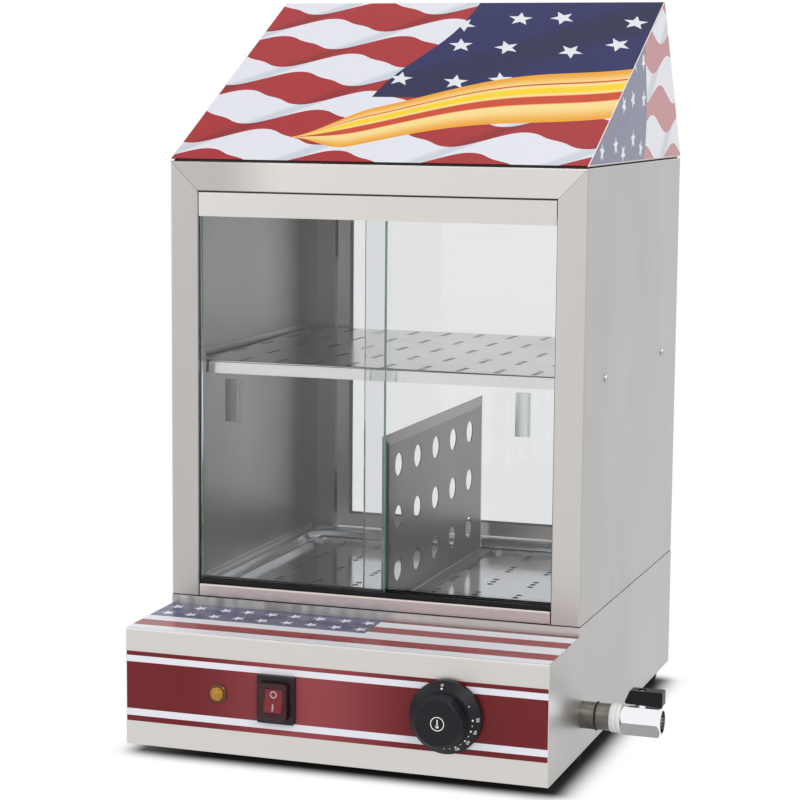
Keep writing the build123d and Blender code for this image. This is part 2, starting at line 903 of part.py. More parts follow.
def glass_slab():
    middle = (door_front_y + back_y) / 2
    return along_y(door_rectangle(door_glass_bite), middle - door_glass / 2, middle + door_glass / 2)


def rear_door_gasket():
    ring = door_rectangle(sheet) - door_rectangle(door_frame_width + gasket_lip)
    return along_y(ring, door_front_y + sheet, back_y - sheet) - glass_slab()


def hinge_screw_places():
    """Places of the fixed leaves' screws on the rear stile, as (x, z)."""
    x = hinge_x - hinge_fixed_width + hinge_screw_inset
    return [(x, middle + rise) for middle in hinge_zs for rise in (-hinge_height / 4, hinge_height / 4)]


def knuckle_spans(middle):
    """Heights of a hinge's three knuckles, from the lowest."""
    third = hinge_height / 3
    gap = hinge_knuckle_gap / 2
    low = middle - hinge_height / 2
    return [
        (low, low + third - gap),
        (low + third + gap, low + 2 * third - gap),
        (low + 2 * third + gap, low + hinge_height),
    ]


def hinge_leaf_solid(middle, spans, side, reach, bore):
    """One leaf: a plate beside the knuckles, with a tongue to each of its own."""
    clear = hinge_knuckle_radius + hinge_knuckle_gap
    near, far = sorted((hinge_x + side * clear, hinge_x + side * reach))
    low = middle - hinge_height / 2
    leaf = along_z(rectangle((near, back_y), (far, back_y + hinge_leaf)), low, low + hinge_height)
    inner, outer = sorted((hinge_x, hinge_x + side * clear))
    tongue = rectangle((inner, hinge_y - hinge_knuckle_radius), (outer, back_y + hinge_leaf))
    for start, end in spans:
        leaf += along_z(tongue, start, end)
        leaf += rod_z(hinge_knuckle_radius, start, end, hinge_x, hinge_y)
        leaf -= rod_z(bore, start - sheet, end + sheet, hinge_x, hinge_y)
    return leaf


def hinge_fixed_leaves():
    leaves = []
    for middle in hinge_zs:
        low, _, high = knuckle_spans(middle)
        leaf = hinge_leaf_solid(middle, (low, high), -1, hinge_fixed_width, hinge_pin_radius)
        for x, z in hinge_screw_places():
            leaf -= rod_y(screw_radius, back_y - hinge_leaf, back_y + 2 * hinge_leaf, x, z)
        leaves.append(leaf)
    return leaves


def hinge_moving_leaves():
    leaves = []
    for middle in hinge_zs:
        _, centre, _ = knuckle_spans(middle)
        bore = hinge_pin_radius + running_gap
        leaves.append(hinge_leaf_solid(middle, (centre,), 1, hinge_moving_width, bore))
    return leaves


def hinge_pins():
    pins = []
    for middle in hinge_zs:
        low = middle - hinge_height / 2
        pins.append(rod_z(hinge_pin_radius, low, low + hinge_height, hinge_x, hinge_y))
    return pins


def door_magnet():
    """Magnetic catch on the rear jamb, which also stops the door."""
    middle = (door_low_z + door_high_z) / 2
    rear = door_front_y - fit_gap
    section = rounded((opening_half - magnet_width, rear - magnet_depth), (opening_half, rear), sheet)
    return along_z(section, middle - magnet_height / 2, middle + magnet_height / 2)


def rear_door_knob():
    middle = (door_low_z + door_high_z) / 2
    neck = door_knob_radius * 0.45
    profile = polygon(
        (0, 0),
        (neck, 0),
        (neck, door_knob_length * 0.4),
        (door_knob_radius * 0.8, door_knob_length * 0.5),
        (door_knob_radius, door_knob_length * 0.65),
        (door_knob_radius, door_knob_length * 0.88),
        (door_knob_radius * 0.85, door_knob_length),
        (0, door_knob_length),
    )
    return turned_about_y(profile, door_half - door_frame_width / 2, back_y, middle)


# ---------------------------------------------------------------- header
header_bolt_places = []
for bolt_side in (-1, 1):
    bolt_x = bolt_side * (half_width - header_bolt_inset)
    header_bolt_places.append((bolt_x, cabinet_y + header_bolt_setback))
    header_bolt_places.append((bolt_x, back_y - header_bolt_setback))


def header_shell():
    """Sloped sign face and rear face, folded over the ridge, with a lip turned in at each foot."""
    line = [
        (cabinet_y + header_lip, header_z),
        (cabinet_y, header_z),
        (header_apex_y, header_top_z),
        (back_y, header_z),
        (back_y - header_lip, header_z),
    ]
    line.reverse()
    shell = along_x(folded(line), sheet - half_width, half_width - sheet)
    for x, y in header_bolt_places:
        shell -= rod_z(screw_radius + fit_gap, header_z - sheet, header_z + 2 * sheet, x, y)
    return shell


def header_triangle():
    """Outline of the header's end, drawn as (y, z)."""
    return polygon((cabinet_y, header_z), (header_apex_y, header_top_z), (back_y, header_z))


def header_ends():
    right = along_x(header_triangle(), half_width - sheet, half_width)
    return [mirror(right, about=Plane.YZ), right]


def header_gasket():
    """Packing strip between the cabinet and the header, set in from the edges."""
    inset = header_gasket_inset
    low = (inset - half_width, cabinet_y + inset)
    high = (half_width - inset, back_y - inset)
    band = header_gasket_width
    middle = rectangle((low[0] + band, low[1] + band), (high[0] - band, high[1] - band))
    strip = along_z(rectangle(low, high) - middle, cabinet_top_z, header_z)
    for x, y in header_bolt_places:
        strip -= rod_z(screw_radius + fit_gap, cabinet_top_z - sheet, header_z + sheet, x, y)
    return strip


def header_bolts():
    """Bolts put in from inside the cabinet, their heads under its top sheet."""
    bolts = []
    for x, y in header_bolt_places:
        body = turned_about_z(screw_profile(header_bolt_length), 0, 0, 0)
        bolts.append(Pos(x, y, cabinet_top_z - sheet) * Rot(180, 0, 0) * body)
    return bolts


def header_decal():
    """Printed film on the sloped face."""
    slope = degrees(atan2(header_rise, header_apex_setback))
    length = hypot(header_rise, header_apex_setback) - 3 * header_decal_margin
    face = Plane(origin=(0, cabinet_y, header_z), x_dir=(1, 0, 0), z_dir=(0, 0, 1))
    face = face.rotated((slope, 0, 0))
    high = (half_width - header_decal_margin, length)
    outline = rectangle((header_decal_margin - half_width, 2 * header_decal_margin), high)
    return extrude(face * outline, amount=film)


def header_end_decals():
    """Printed film on the two ends."""
    inset = 2 * header_decal_margin
    outline = polygon(
        (cabinet_y + 4 * inset, header_z + inset),
        (header_apex_y, header_top_z - 1.5 * inset),
        (back_y - 1.5 * inset, header_z + inset),
    )
    right = along_x(outline, half_width, half_width + film)
    return [mirror(right, about=Plane.YZ), right]


# ---------------------------------------------------------------- films on the base
def front_decal():
    low = (header_decal_margin - half_width, base_z + stripe_low)
    high = (half_width - header_decal_margin, base_z + stripe_high)
    film_sheet = along_y(rectangle(low, high), fitting_y, front_y)
    return film_sheet - panel_cutouts(front_y - sheet, front_y + sheet)


def ledge_decal():
    """Printed film on the ledge, from behind the front bend to the riser."""
    slope = (ledge_rear_z - ledge_front_z) / ledge_depth
    start = front_y + housing_bend
    low_z = ledge_front_z + slope * housing_bend
    end = cabinet_y - fit_gap
    high_z = ledge_rear_z - slope * fit_gap
    section = polygon((start, low_z), (end, high_z), (end, high_z + film), (start, low_z + film))
    return along_x(section, header_decal_margin - half_width, half_width - header_decal_margin)


# ---------------------------------------------------------------- lamp and switch
def lamp_body():
    """Snap-in lamp holder: a collar on the panel, a barrel behind it and two blades."""
    depth = lamp_barrel_length
    profile = polygon(
        (0, lamp_seat - lamp_collar),
        (lamp_lens_radius + running_gap, lamp_seat - lamp_collar),
        (lamp_lens_radius + running_gap, -lamp_collar),
        (lamp_collar_radius - lamp_collar_chamfer, -lamp_collar),
        (lamp_collar_radius, lamp_collar_chamfer - lamp_collar),
        (lamp_collar_radius, 0),
        (lamp_barrel_radius, 0),
        (lamp_barrel_radius, depth),
        (0, depth),
    )
    body = turned_about_y(profile, lamp_x, fitting_y, panel_z)
    rear = fitting_y + depth
    for side in (-1, 1):
        x = lamp_x + side * lamp_blade_spacing / 2
        tab = Pos(x, panel_z) * Rectangle(blade, blade_width)
        body += along_y(tab, rear - sheet, rear + blade_length)
    return body


def lamp_lens():
    """Domed lens seated in the collar."""
    seat = lamp_seat - lamp_collar
    edge = -lamp_collar - lamp_lens_wall
    top = edge - lamp_lens_dome
    dome_radius = (lamp_lens_radius ** 2 + lamp_lens_dome ** 2) / (2 * lamp_lens_dome)
    outline = Polyline((0, top), (0, seat), (lamp_lens_radius, seat), (lamp_lens_radius, edge))
    outline += RadiusArc((lamp_lens_radius, edge), (0, top), dome_radius)
    return turned_about_y(make_face(outline), lamp_x, fitting_y, panel_z)


def centred(width_x, height_z, radius=0):
    """Rectangle round the switch's axis, drawn as (x, z)."""
    low = (switch_x - width_x / 2, panel_z - height_z / 2)
    high = (switch_x + width_x / 2, panel_z + height_z / 2)
    return rounded(low, high, radius) if radius else rectangle(low, high)


rocker_y = fitting_y - rocker_pivot
window_width = switch_body_width + 2 * switch_window_margin
window_height = switch_body_height + 2 * switch_window_margin
window_corner = 3.0


def switch_frame():
    """Black surround that holds the splash cover."""
    front = fitting_y - switch_frame_depth
    width = window_width + 2 * switch_frame_side
    height = window_height + 2 * switch_frame_end
    outline = centred(width, height, switch_frame_corner)
    frame = along_y(outline, front, fitting_y)
    frame = chamfer(frame.faces().sort_by(Axis.Y)[0].edges(), switch_frame_chamfer)
    return frame - along_y(centred(window_width, window_height, window_corner), front - film, front_y)


def splash_cover():
    """Clear soft dome over the rocker, its foot inside the surround."""
    wide = window_width - 2 * running_gap
    tall = window_height - 2 * running_gap
    top = fitting_y - splash_rise
    dome = along_y(centred(wide, tall, window_corner), top, fitting_y)
    dome = fillet(dome.faces().sort_by(Axis.Y)[0].edges(), window_corner - splash_wall / 2)
    room = centred(wide - 2 * splash_wall, tall - 2 * splash_wall, window_corner - splash_wall)
    hollow = along_y(room, top + splash_wall, front_y)
    return dome - chamfer(hollow.faces().sort_by(Axis.Y)[0].edges(), window_corner - 2 * splash_wall)


def switch_body():
    """Switch case behind the panel, its collar round the rocker and three blades at its back."""
    rear = fitting_y + switch_body_depth
    front = fitting_y - switch_collar
    rim = 2 * switch_collar_rim
    collar = centred(switch_body_width + rim, switch_body_height + rim, switch_collar_rim)
    body = along_y(collar, front, fitting_y)
    body += along_y(centred(switch_body_width, switch_body_height), fitting_y, rear)
    well = centred(rocker_width + 2 * rocker_side_gap, rocker_height + 2 * rocker_end_gap)
    body -= along_y(well, front - film, fitting_y + rocker_well)
    pin_half = rocker_width / 2 + rocker_pin_length + fit_gap
    bore = rocker_pin_radius + running_gap
    body -= rod_x(bore, switch_x - pin_half, switch_x + pin_half, rocker_y, panel_z)
    for row in (-1, 0, 1):
        tab = Pos(switch_x, panel_z + row * blade_pitch) * Rectangle(blade_width, blade)
        body += along_y(tab, rear - sheet, rear + blade_length)
    return body


def switch_rocker():
    """Rocker with a shallow V face, tilted about its pins so that its top end is pressed in."""
    half = rocker_height / 2
    section = polygon(
        (-rocker_end_rise, half),
        (-rocker_face_rise, 0),
        (-rocker_end_rise, -half),
        (rocker_side_depth, -half),
        (rocker_heel, -rocker_side_depth),
        (rocker_heel, rocker_side_depth),
        (rocker_side_depth, half),
    )
    rocker = along_x(section, -rocker_width / 2, rocker_width / 2)
    pin_end = rocker_width / 2 + rocker_pin_length
    rocker += rod_x(rocker_pin_radius, -pin_end, pin_end, 0, 0)
    return Pos(switch_x, rocker_y, panel_z) * Rot(-rocker_rest_tilt, 0, 0) * rocker


# ---------------------------------------------------------------- thermostat
def thermostat_knob():
    """Skirted knob with a dished, flat-sided cap and a hub for the spindle."""
    rim = -knob_gap
    face = rim - knob_skirt
    under = face + knob_wall / 2
    hub_end = rim - knob_dish
    tip = -knob_reach
    dish_radius = knob_cap_radius - 2 * knob_edge
    outline = polygon(
        (0, under),
        (knob_hub_bore, under),
        (knob_hub_bore, hub_end),
        (knob_hub_radius, hub_end),
        (knob_hub_radius, under),
        (knob_neck_radius - knob_wall, under),
        (knob_radius - knob_wall, rim - knob_rim),
        (knob_radius - knob_wall, rim),
        (knob_radius, rim),
        (knob_radius, rim - knob_rim),
        (knob_neck_radius + knob_wall / 3, face),
        (knob_neck_radius - knob_dish, face - knob_dish),
        (knob_cap_radius, tip + knob_edge),
        (knob_cap_radius - knob_edge, tip),
        (dish_radius + knob_dish, tip),
        (dish_radius, tip + knob_dish),
        (0, tip + knob_dish),
    )
    knob = turned_about_y(outline, knob_x, fitting_y, panel_z)
    knob -= rod_y(spindle_radius, fitting_y - knob_hub_depth, fitting_y + sheet, knob_x, panel_z)
    knob += spindle_flat(fitting_y - knob_hub_depth, fitting_y + hub_end)
    return knob - knob_grips(fitting_y + tip - sheet, fitting_y + face - knob_edge)


def knob_grips(start, end):
    """What is cut away to leave the finger flats round the cap."""
    near = knob_cap_radius - knob_flat_depth
    slab = along_y(rectangle((-knob_radius, near), (knob_radius, knob_radius)), start, end)
    grips = [Rot(0, knob_flat_turn + turn * 360 / knob_flats, 0) * slab for turn in range(knob_flats)]
    return [Pos(knob_x, 0, panel_z) * grip for grip in grips]


def spindle_flat(start, end):
    """Segment that keys the knob to the flat of its spindle."""
    disc = rod_y(spindle_radius, start, end, knob_x, panel_z)
    reach = 2 * spindle_radius
    low = (knob_x - reach, panel_z - reach)
    high = (knob_x + reach, panel_z + spindle_radius / 2)
    return disc - along_y(rectangle(low, high), start - sheet, end + sheet)


def thermostat_spindle():
    start = fitting_y - knob_hub_depth
    shaft = rod_y(spindle_radius, start, front_y + spindle_depth, knob_x, panel_z)
    return shaft - spindle_flat(start - sheet, fitting_y - knob_gap)


def thermostat_body():
    """Thermostat case behind the panel, with a bushing through it."""
    low = (knob_x - thermostat_size / 2, panel_z - thermostat_size / 2)
    high = (knob_x + thermostat_size / 2, panel_z + thermostat_size / 2)
    rear_y = front_y + sheet
    case = along_y(rounded(low, high, thermostat_corner), rear_y, rear_y + thermostat_depth)
    case = chamfer(case.faces().sort_by(Axis.Y)[-1].edges(), thermostat_chamfer)
    case += rod_y(bushing_radius, fitting_y, rear_y, knob_x, panel_z)
    hole_end = front_y + spindle_depth + fit_gap
    case -= rod_y(spindle_radius + running_gap, fitting_y - sheet, hole_end, knob_x, panel_z)
    for side in (-1, 1):
        x = knob_x + side * thermostat_screw_offset
        case -= rod_y(screw_radius, rear_y - sheet, rear_y + 6 * sheet, x, panel_z)
    return case


def thermostat_bulb():
    """Sensing bulb in the pan, its gland in the pan's front wall and the capillary to the case."""
    wall = pan_front_y
    inside = wall + sheet
    flange_radius = bulb_radius + bulb_flange
    hole_radius = bulb_radius + gland_wall
    profile = polygon(
        (0, wall + bulb_length),
        (bulb_radius, wall + bulb_length - bulb_radius),
        (bulb_radius, inside + bulb_flange),
        (flange_radius, inside + bulb_flange),
        (flange_radius, inside),
        (hole_radius, inside),
        (hole_radius, wall),
        (flange_radius, wall),
        (flange_radius, wall - bulb_flange),
        (0, wall - bulb_flange),
    )
    bulb = turned_about_y(profile, bulb_x, 0, bulb_z)
    case_rear = front_y + sheet + thermostat_depth
    turn_y = wall - capillary_reach
    case_z = bulb_z + capillary_rise
    route = FilletPolyline(
        (bulb_x, wall - bulb_flange + sheet, bulb_z),
        (bulb_x, turn_y, bulb_z),
        (knob_x, turn_y, case_z),
        (knob_x, case_rear, case_z),
        radius=capillary_bend,
    )
    tube = sweep(Plane(route @ 0, z_dir=route % 0) * Circle(capillary_radius), path=route)
    return bulb + tube


# ---------------------------------------------------------------- heater and supply
def heating_element():
    """Tubular heater bent to a loop in the pan, its two cold ends through the front wall."""
    start_y = pan_front_y - element_tail
    rear = pan_rear_y - element_rear_gap
    front = pan_front_y + element_front_gap
    route = FilletPolyline(
        (element_left_x, start_y, element_z),
        (element_left_x, rear, element_z),
        (element_right_x, rear, element_z),
        (element_right_x, front, element_z),
        (element_inner_x, front, element_z),
        (element_inner_x, start_y, element_z),
        radius=element_bend,
    )
    tube = sweep(Plane(route @ 0, z_dir=route % 0) * Circle(element_radius), path=route)
    for x in (element_left_x, element_inner_x):
        tube += rod_y(element_radius * 0.4, start_y - element_pin, start_y, x, element_z)
    return tube


def element_bushings():
    """Brass bushings that seal the heater's ends in the pan's front wall."""
    bushings = []
    start = pan_front_y - bushing_tail
    inside = pan_front_y + sheet
    end = inside + bushing_flange
    for x in (element_left_x, element_inner_x):
        bush = rod_y(element_radius + gland_wall, start, end, x, element_z)
        bush += rod_y(bushing_hex / 2, inside, end, x, element_z)
        nut = Pos(x, element_z) * RegularPolygon(bushing_hex / 2, 6, major_radius=False)
        bush += along_y(nut, pan_front_y - bushing_nut, pan_front_y)
        bushings.append(bush - rod_y(element_radius, start - sheet, end + sheet, x, element_z))
    return bushings


def terminal_block():
    """Barrier terminal block on the bottom cover."""
    front = front_y + block_setback
    rear = front + block_depth
    low_x = block_x - block_length / 2
    high_z = base_z + block_height
    bore_z = base_z + block_height * block_bore_share
    floor = rectangle((front, base_z), (rear, base_z + block_height * block_floor_share))
    block = along_x(floor, low_x, low_x + block_length)
    pitch = (block_length - block_wall) / block_ways
    for wall in range(block_ways + 1):
        x = low_x + wall * pitch
        block += along_x(rectangle((front, base_z), (rear, high_z)), x, x + block_wall)
    for way in range(block_ways):
        x = low_x + block_wall / 2 + (way + 0.5) * pitch
        block -= rod_z(block_bore, bore_z, high_z, x, (front + rear) / 2)
    return block


def cable_gland():
    """Cable gland in the rear wall of the base, with its locknut inside."""
    start = back_y - gland_tail
    cap = gland_hex_length
    end = cap + gland_dome_length
    body = rod_y(gland_thread_radius, start, back_y + sheet, gland_x, gland_z)
    hexagon = Pos(gland_x, gland_z) * RegularPolygon(gland_hex / 2, 6, major_radius=False)
    body += along_y(hexagon, back_y, back_y + cap)
    dome = polygon(
        (0, cap),
        (gland_hex / 2 - sheet, cap),
        (gland_hex / 2 - sheet, end - gland_bore),
        (gland_bore + 3 * sheet, end),
        (0, end),
    )
    body += turned_about_y(dome, gland_x, back_y, gland_z)
    body -= rod_y(gland_bore, start - sheet, back_y + end + sheet, gland_x, gland_z)
    nut = along_y(hexagon, back_y - sheet - gland_nut, back_y - sheet)
    nut -= rod_y(gland_thread_radius, start, back_y, gland_x, gland_z)
    return [body, nut]


# ---------------------------------------------------------------- drain and ball valve
pipe_end_x = half_width + drain_reach
nipple_x = pipe_end_x + oring_width
tape_x = nipple_x + nipple_length
valve_x = tape_x + tape_length
valve_end_x = valve_x + valve_length
chamber_x = valve_x + valve_inlet_depth
chamber_end_x = valve_end_x - valve_outlet_depth
ball_x = (chamber_x + chamber_end_x) / 2
valve_top_z = drain_z + valve_across_flats / 2
lever_z = drain_z + lever_lift
lever_relief_z = lever_z + lever_relief
lever_socket_z = lever_z + lever_height * lever_socket_share
lever_screw_z = lever_z + lever_height - lever_counterbore


def tube_profile(*steps):
    """Half section of a stepped tube: (start, end, inner radius, outer radius) along +X."""
    section = Sketch()
    for start, end, inner, outer in steps:
        section += rectangle((start, inner), (end, outer))
    return section


def drain_pipe():
    """Stub welded to the pan wall, with a socket at its outer end."""
    socket_x = half_width
    section = tube_profile(
        (pan_half - sheet, pan_half, drain_bore, drain_spigot_radius),
        (pan_half, socket_x, drain_bore, drain_pipe_radius),
        (socket_x, pipe_end_x, drain_spigot_radius, drain_pipe_radius),
    )
    return turned_about_x(section, 0, drain_y, drain_z)


def drain_oring():
    """Sealing ring pressed between the socket and the nipple, its outside bulged."""
    ease = oring_width / 3
    section = polygon(
        (pipe_end_x, drain_spigot_radius),
        (pipe_end_x, oring_radius - ease),
        (pipe_end_x + ease, oring_radius),
        (nipple_x - ease, oring_radius),
        (nipple_x, oring_radius - ease),
        (nipple_x, drain_spigot_radius),
    )
    return turned_about_x(section, 0, drain_y, drain_z)


def drain_nipple():
    section = tube_profile(
        (half_width + fit_gap, nipple_x, drain_bore, drain_spigot_radius),
        (nipple_x, tape_x, drain_bore, drain_pipe_radius - nipple_ease),
        (tape_x, chamber_x, drain_bore, thread_radius),
    )
    return turned_about_x(section, 0, drain_y, drain_z)


def thread_tape():
    """Sealing tape wound on the nipple's thread in front of the valve."""
    section = polygon(
        (tape_x, thread_radius),
        (tape_x, tape_radius - tape_edge),
        (tape_x + tape_shoulder, tape_radius - tape_shoulder_ease),
        (valve_x - tape_end, tape_radius),
        (valve_x, tape_radius - tape_end_ease),
        (valve_x, thread_radius),
    )
    return turned_about_x(section, 0, drain_y, drain_z)


def valve_body():
    """Hexagon bar, one flat up, bored for the nipple, the ball and the outlet thread."""
    hexagon = RegularPolygon(valve_across_flats / 2, 6, major_radius=False)
    body = along_x(Pos(drain_y, drain_z) * hexagon, valve_x, valve_end_x)
    crown_radius = valve_across_flats / 2 * valve_crown_ratio
    crown = rod_x(crown_radius, valve_x, valve_end_x, drain_y, drain_z)
    body &= chamfer(crown.edges(), valve_chamfer)
    body += rod_z(stem_boss_radius, drain_z, valve_top_z + stem_boss, ball_x, drain_y)
    body -= rod_x(thread_radius, valve_x - 1, chamber_x, drain_y, drain_z)
    body -= rod_x(ball_radius + chamber_gap, chamber_x - 1, chamber_end_x + 1, drain_y, drain_z)
    body -= rod_x(valve_outlet_radius, chamber_end_x, valve_end_x + 1, drain_y, drain_z)
    body -= rod_z(stem_radius + running_gap, drain_z, valve_top_z + 2 * stem_boss, ball_x, drain_y)
    return body


def valve_seats():
    """Plastic rings that carry the ball on each side."""
    seats = []
    ball = Pos(ball_x, 0) * Circle(ball_radius + running_gap)
    for start, end in ((chamber_x, ball_x - seat_reach), (ball_x + seat_reach, chamber_end_x)):
        section = tube_profile((start, end, ball_bore + seat_wall, ball_radius + chamber_gap)) - ball
        seats.append(turned_about_x(section, 0, drain_y, drain_z))
    return seats


def stem_section(length, width):
    """A rectangle about the stem's axis, long side along the pipe."""
    low = (ball_x - length / 2, drain_y - width / 2)
    high = (ball_x + length / 2, drain_y + width / 2)
    return rectangle(low, high)


def valve_ball():
    ball = Pos(ball_x, drain_y, drain_z) * Sphere(ball_radius)
    ball -= rod_x(ball_bore, ball_x - 2 * ball_radius, ball_x + 2 * ball_radius, drain_y, drain_z)
    slot = stem_section(ball_slot_length, ball_slot_width)
    return ball - along_z(slot, drain_z + ball_radius - ball_slot_depth, drain_z + 2 * ball_radius)


def valve_stem():
    """Stem from the ball's slot up into the lever, with flats at its top."""
    low = drain_z + ball_radius + stem_foot_gap
    stem = rod_z(stem_radius, low, lever_relief_z, ball_x, drain_y)
    tongue = stem_section(stem_tongue_length, stem_tongue_width)
    stem += along_z(tongue, drain_z + ball_radius - stem_tongue_depth, low)
    return stem + flatted_stem(lever_relief_z, lever_socket_z)


def flatted_stem(start, end):
    """The stem's top, with two flats that turn the lever."""
    disc = rod_z(stem_radius, start, end, ball_x, drain_y)
    return disc & along_z(stem_section(4 * stem_radius, stem_flats_width), start, end)


def valve_lever():
    """Moulded wing lever along the pipe, its inner end sloped and its underside let over the boss."""
    high = lever_z + lever_height
    beyond = high + 2 * lever_flare
    section = polygon(
        (ball_x - lever_length_in, lever_z),
        (ball_x + lever_length_out, lever_z - lever_droop),
        (ball_x + lever_length_out, high + lever_flare),
        (ball_x - lever_length_in + lever_slope, high),
    )
    lever = along_y(section, drain_y - lever_width / 2, drain_y + lever_width / 2)
    lever = fillet(lever.edges().filter_by(Axis.Y), lever_rounding)
    lever -= rod_z(stem_boss_radius + fit_gap, lever_z - lever_droop, lever_relief_z, ball_x, drain_y)
    lever -= flatted_stem(lever_z, lever_socket_z)
    lever -= rod_z(lever_screw_bore, lever_socket_z - lever_relief, beyond, ball_x, drain_y)
    return lever - rod_z(lever_counterbore_radius, lever_screw_z, beyond, ball_x, drain_y)


def lever_screw():
    length = lever_screw_z - lever_socket_z
    profile = screw_profile(length, lever_screw_bore, lever_screw_head_radius, lever_screw_head)
    return Pos(ball_x, drain_y, lever_screw_z) * turned_about_z(profile, 0, 0, 0)


# ---------------------------------------------------------------- small screws
def panel_screws():
    """Screws of the shelf rails, the hinges and the thermostat."""
    screws = []
    for side in (-1, 1):
        for y in rail_screw_ys:
            body = turned_about_z(screw_profile(3 * sheet), 0, 0, 0)
            screws.append(Pos(side * half_width, y, rail_screw_z) * Rot(0, side * 90, 0) * body)
    for x, z in hinge_screw_places():
        body = turned_about_z(screw_profile(hinge_leaf + 3 * sheet), 0, 0, 0)
        screws.append(Pos(x, back_y + hinge_leaf, z) * Rot(-90, 0, 0) * body)
    for side in (-1, 1):
        x = knob_x + side * thermostat_screw_offset
        body = turned_about_z(screw_profile(4 * sheet, head=1.0), 0, 0, 0)
        screws.append(Pos(x, fitting_y, panel_z) * Rot(90, 0, 0) * body)
    return screws


# ---------------------------------------------------------------- writing the nodes
def save(name, shape):
    if isinstance(shape, list):
        shape = Compound(children=shape)
    export_step(shape, f"parts/{name}.step")


os.makedirs("parts", exist_ok=True)

nodes = {
    "base_housing": base_housing(),
    "bottom_cover": bottom_cover(),
    "underside_screws": underside_screws(),
    "rubber_feet": rubber_feet(),
    "water_pan": water_pan(),
    "cabinet_floor": cabinet_floor(),
    "left_side_panel": side_panel(-1),
    "right_side_panel": side_panel(1),
    "top_panel": top_panel(),
    "front_sill": front_sill(),
    "door_guides": door_guides(),
    "upper_track": upper_track(),
    "left_door_glass": door_glass_pane(-1, front_groove_y),
    "right_door_glass": door_glass_pane(1, rear_groove_y),
    "middle_shelf": middle_shelf(),
    "shelf_rails": shelf_rails(),
    "lower_tray": lower_tray(),
    "divider": divider(),
    "rear_door_frame": rear_door_frame(),
    "rear_door_gasket": rear_door_gasket(),
    "rear_door_glass": glass_slab(),
    "rear_door_knob": rear_door_knob(),
    "hinge_fixed_leaves": hinge_fixed_leaves(),
    "hinge_moving_leaves": hinge_moving_leaves(),
    "hinge_pins": hinge_pins(),
    "door_magnet": door_magnet(),
    "header_shell": header_shell(),
    "header_ends": header_ends(),
    "header_gasket": header_gasket(),
    "header_bolts": header_bolts(),
    "header_decal": header_decal(),
    "header_end_decals": header_end_decals(),
    "front_decal": front_decal(),
    "ledge_decal": ledge_decal(),
    "lamp_body": lamp_body(),
    "lamp_lens": lamp_lens(),
    "switch_frame": switch_frame(),
    "splash_cover": splash_cover(),
    "switch_body": switch_body(),
    "switch_rocker": switch_rocker(),
    "thermostat_knob": thermostat_knob(),
    "thermostat_spindle": thermostat_spindle(),
    "thermostat_body": thermostat_body(),
    "thermostat_bulb": thermostat_bulb(),
    "heating_element": heating_element(),
    "element_bushings": element_bushings(),
    "terminal_block": terminal_block(),
    "cable_gland": cable_gland(),
    "drain_pipe": drain_pipe(),
    "drain_oring": drain_oring(),
    "drain_nipple": drain_nipple(),
    "thread_tape": thread_tape(),
    "valve_body": valve_body(),
    "valve_seats": valve_seats(),
    "valve_ball": valve_ball(),
    "valve_stem": valve_stem(),
    "valve_lever": valve_lever(),
    "lever_screw": lever_screw(),
    "panel_screws": panel_screws(),
}

for node_name, node_shape in nodes.items():
    save(node_name, node_shape)
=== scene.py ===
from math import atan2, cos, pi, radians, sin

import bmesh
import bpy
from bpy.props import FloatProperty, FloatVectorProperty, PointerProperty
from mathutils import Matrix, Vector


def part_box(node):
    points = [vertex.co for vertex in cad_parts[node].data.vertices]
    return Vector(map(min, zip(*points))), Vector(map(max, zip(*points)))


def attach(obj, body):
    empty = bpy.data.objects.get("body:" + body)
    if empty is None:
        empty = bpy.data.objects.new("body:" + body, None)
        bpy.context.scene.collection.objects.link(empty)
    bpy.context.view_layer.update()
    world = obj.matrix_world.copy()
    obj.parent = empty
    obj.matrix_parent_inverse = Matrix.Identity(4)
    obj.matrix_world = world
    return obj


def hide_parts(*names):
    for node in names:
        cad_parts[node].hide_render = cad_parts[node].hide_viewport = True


bl_info = {
    "name": "Steam Cabinet Finishes",
    "version": (1, 0, 0),
    "blender": (4, 5, 0),
    "location": "3D View > Sidebar > Steamer",
    "description": "Dresses a counter-top steam cabinet: steel, glass, printed films, fittings and a studio",
    "category": "Object",
}

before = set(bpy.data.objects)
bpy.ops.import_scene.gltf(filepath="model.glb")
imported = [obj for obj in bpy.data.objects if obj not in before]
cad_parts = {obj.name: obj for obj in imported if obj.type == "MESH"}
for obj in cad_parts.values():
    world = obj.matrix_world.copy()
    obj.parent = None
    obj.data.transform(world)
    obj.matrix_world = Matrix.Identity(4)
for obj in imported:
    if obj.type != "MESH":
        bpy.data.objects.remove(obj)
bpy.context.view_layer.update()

MM = 0.001


# ---------------- colours and places
def screen(red, green, blue):
    """A colour named by how it looks on a screen, 0 to 255, in linear values."""
    values = []
    for level in (red / 255, green / 255, blue / 255):
        values.append(level / 12.92 if level <= 0.04045 else ((level + 0.055) / 1.055) ** 2.4)
    return tuple(values)


def low(node):
    """Lowest corner of a CAD node's box."""
    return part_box(node)[0]


def high(node):
    """Highest corner of a CAD node's box."""
    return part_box(node)[1]


def middle(node):
    """Centre of a CAD node's box."""
    return (low(node) + high(node)) / 2


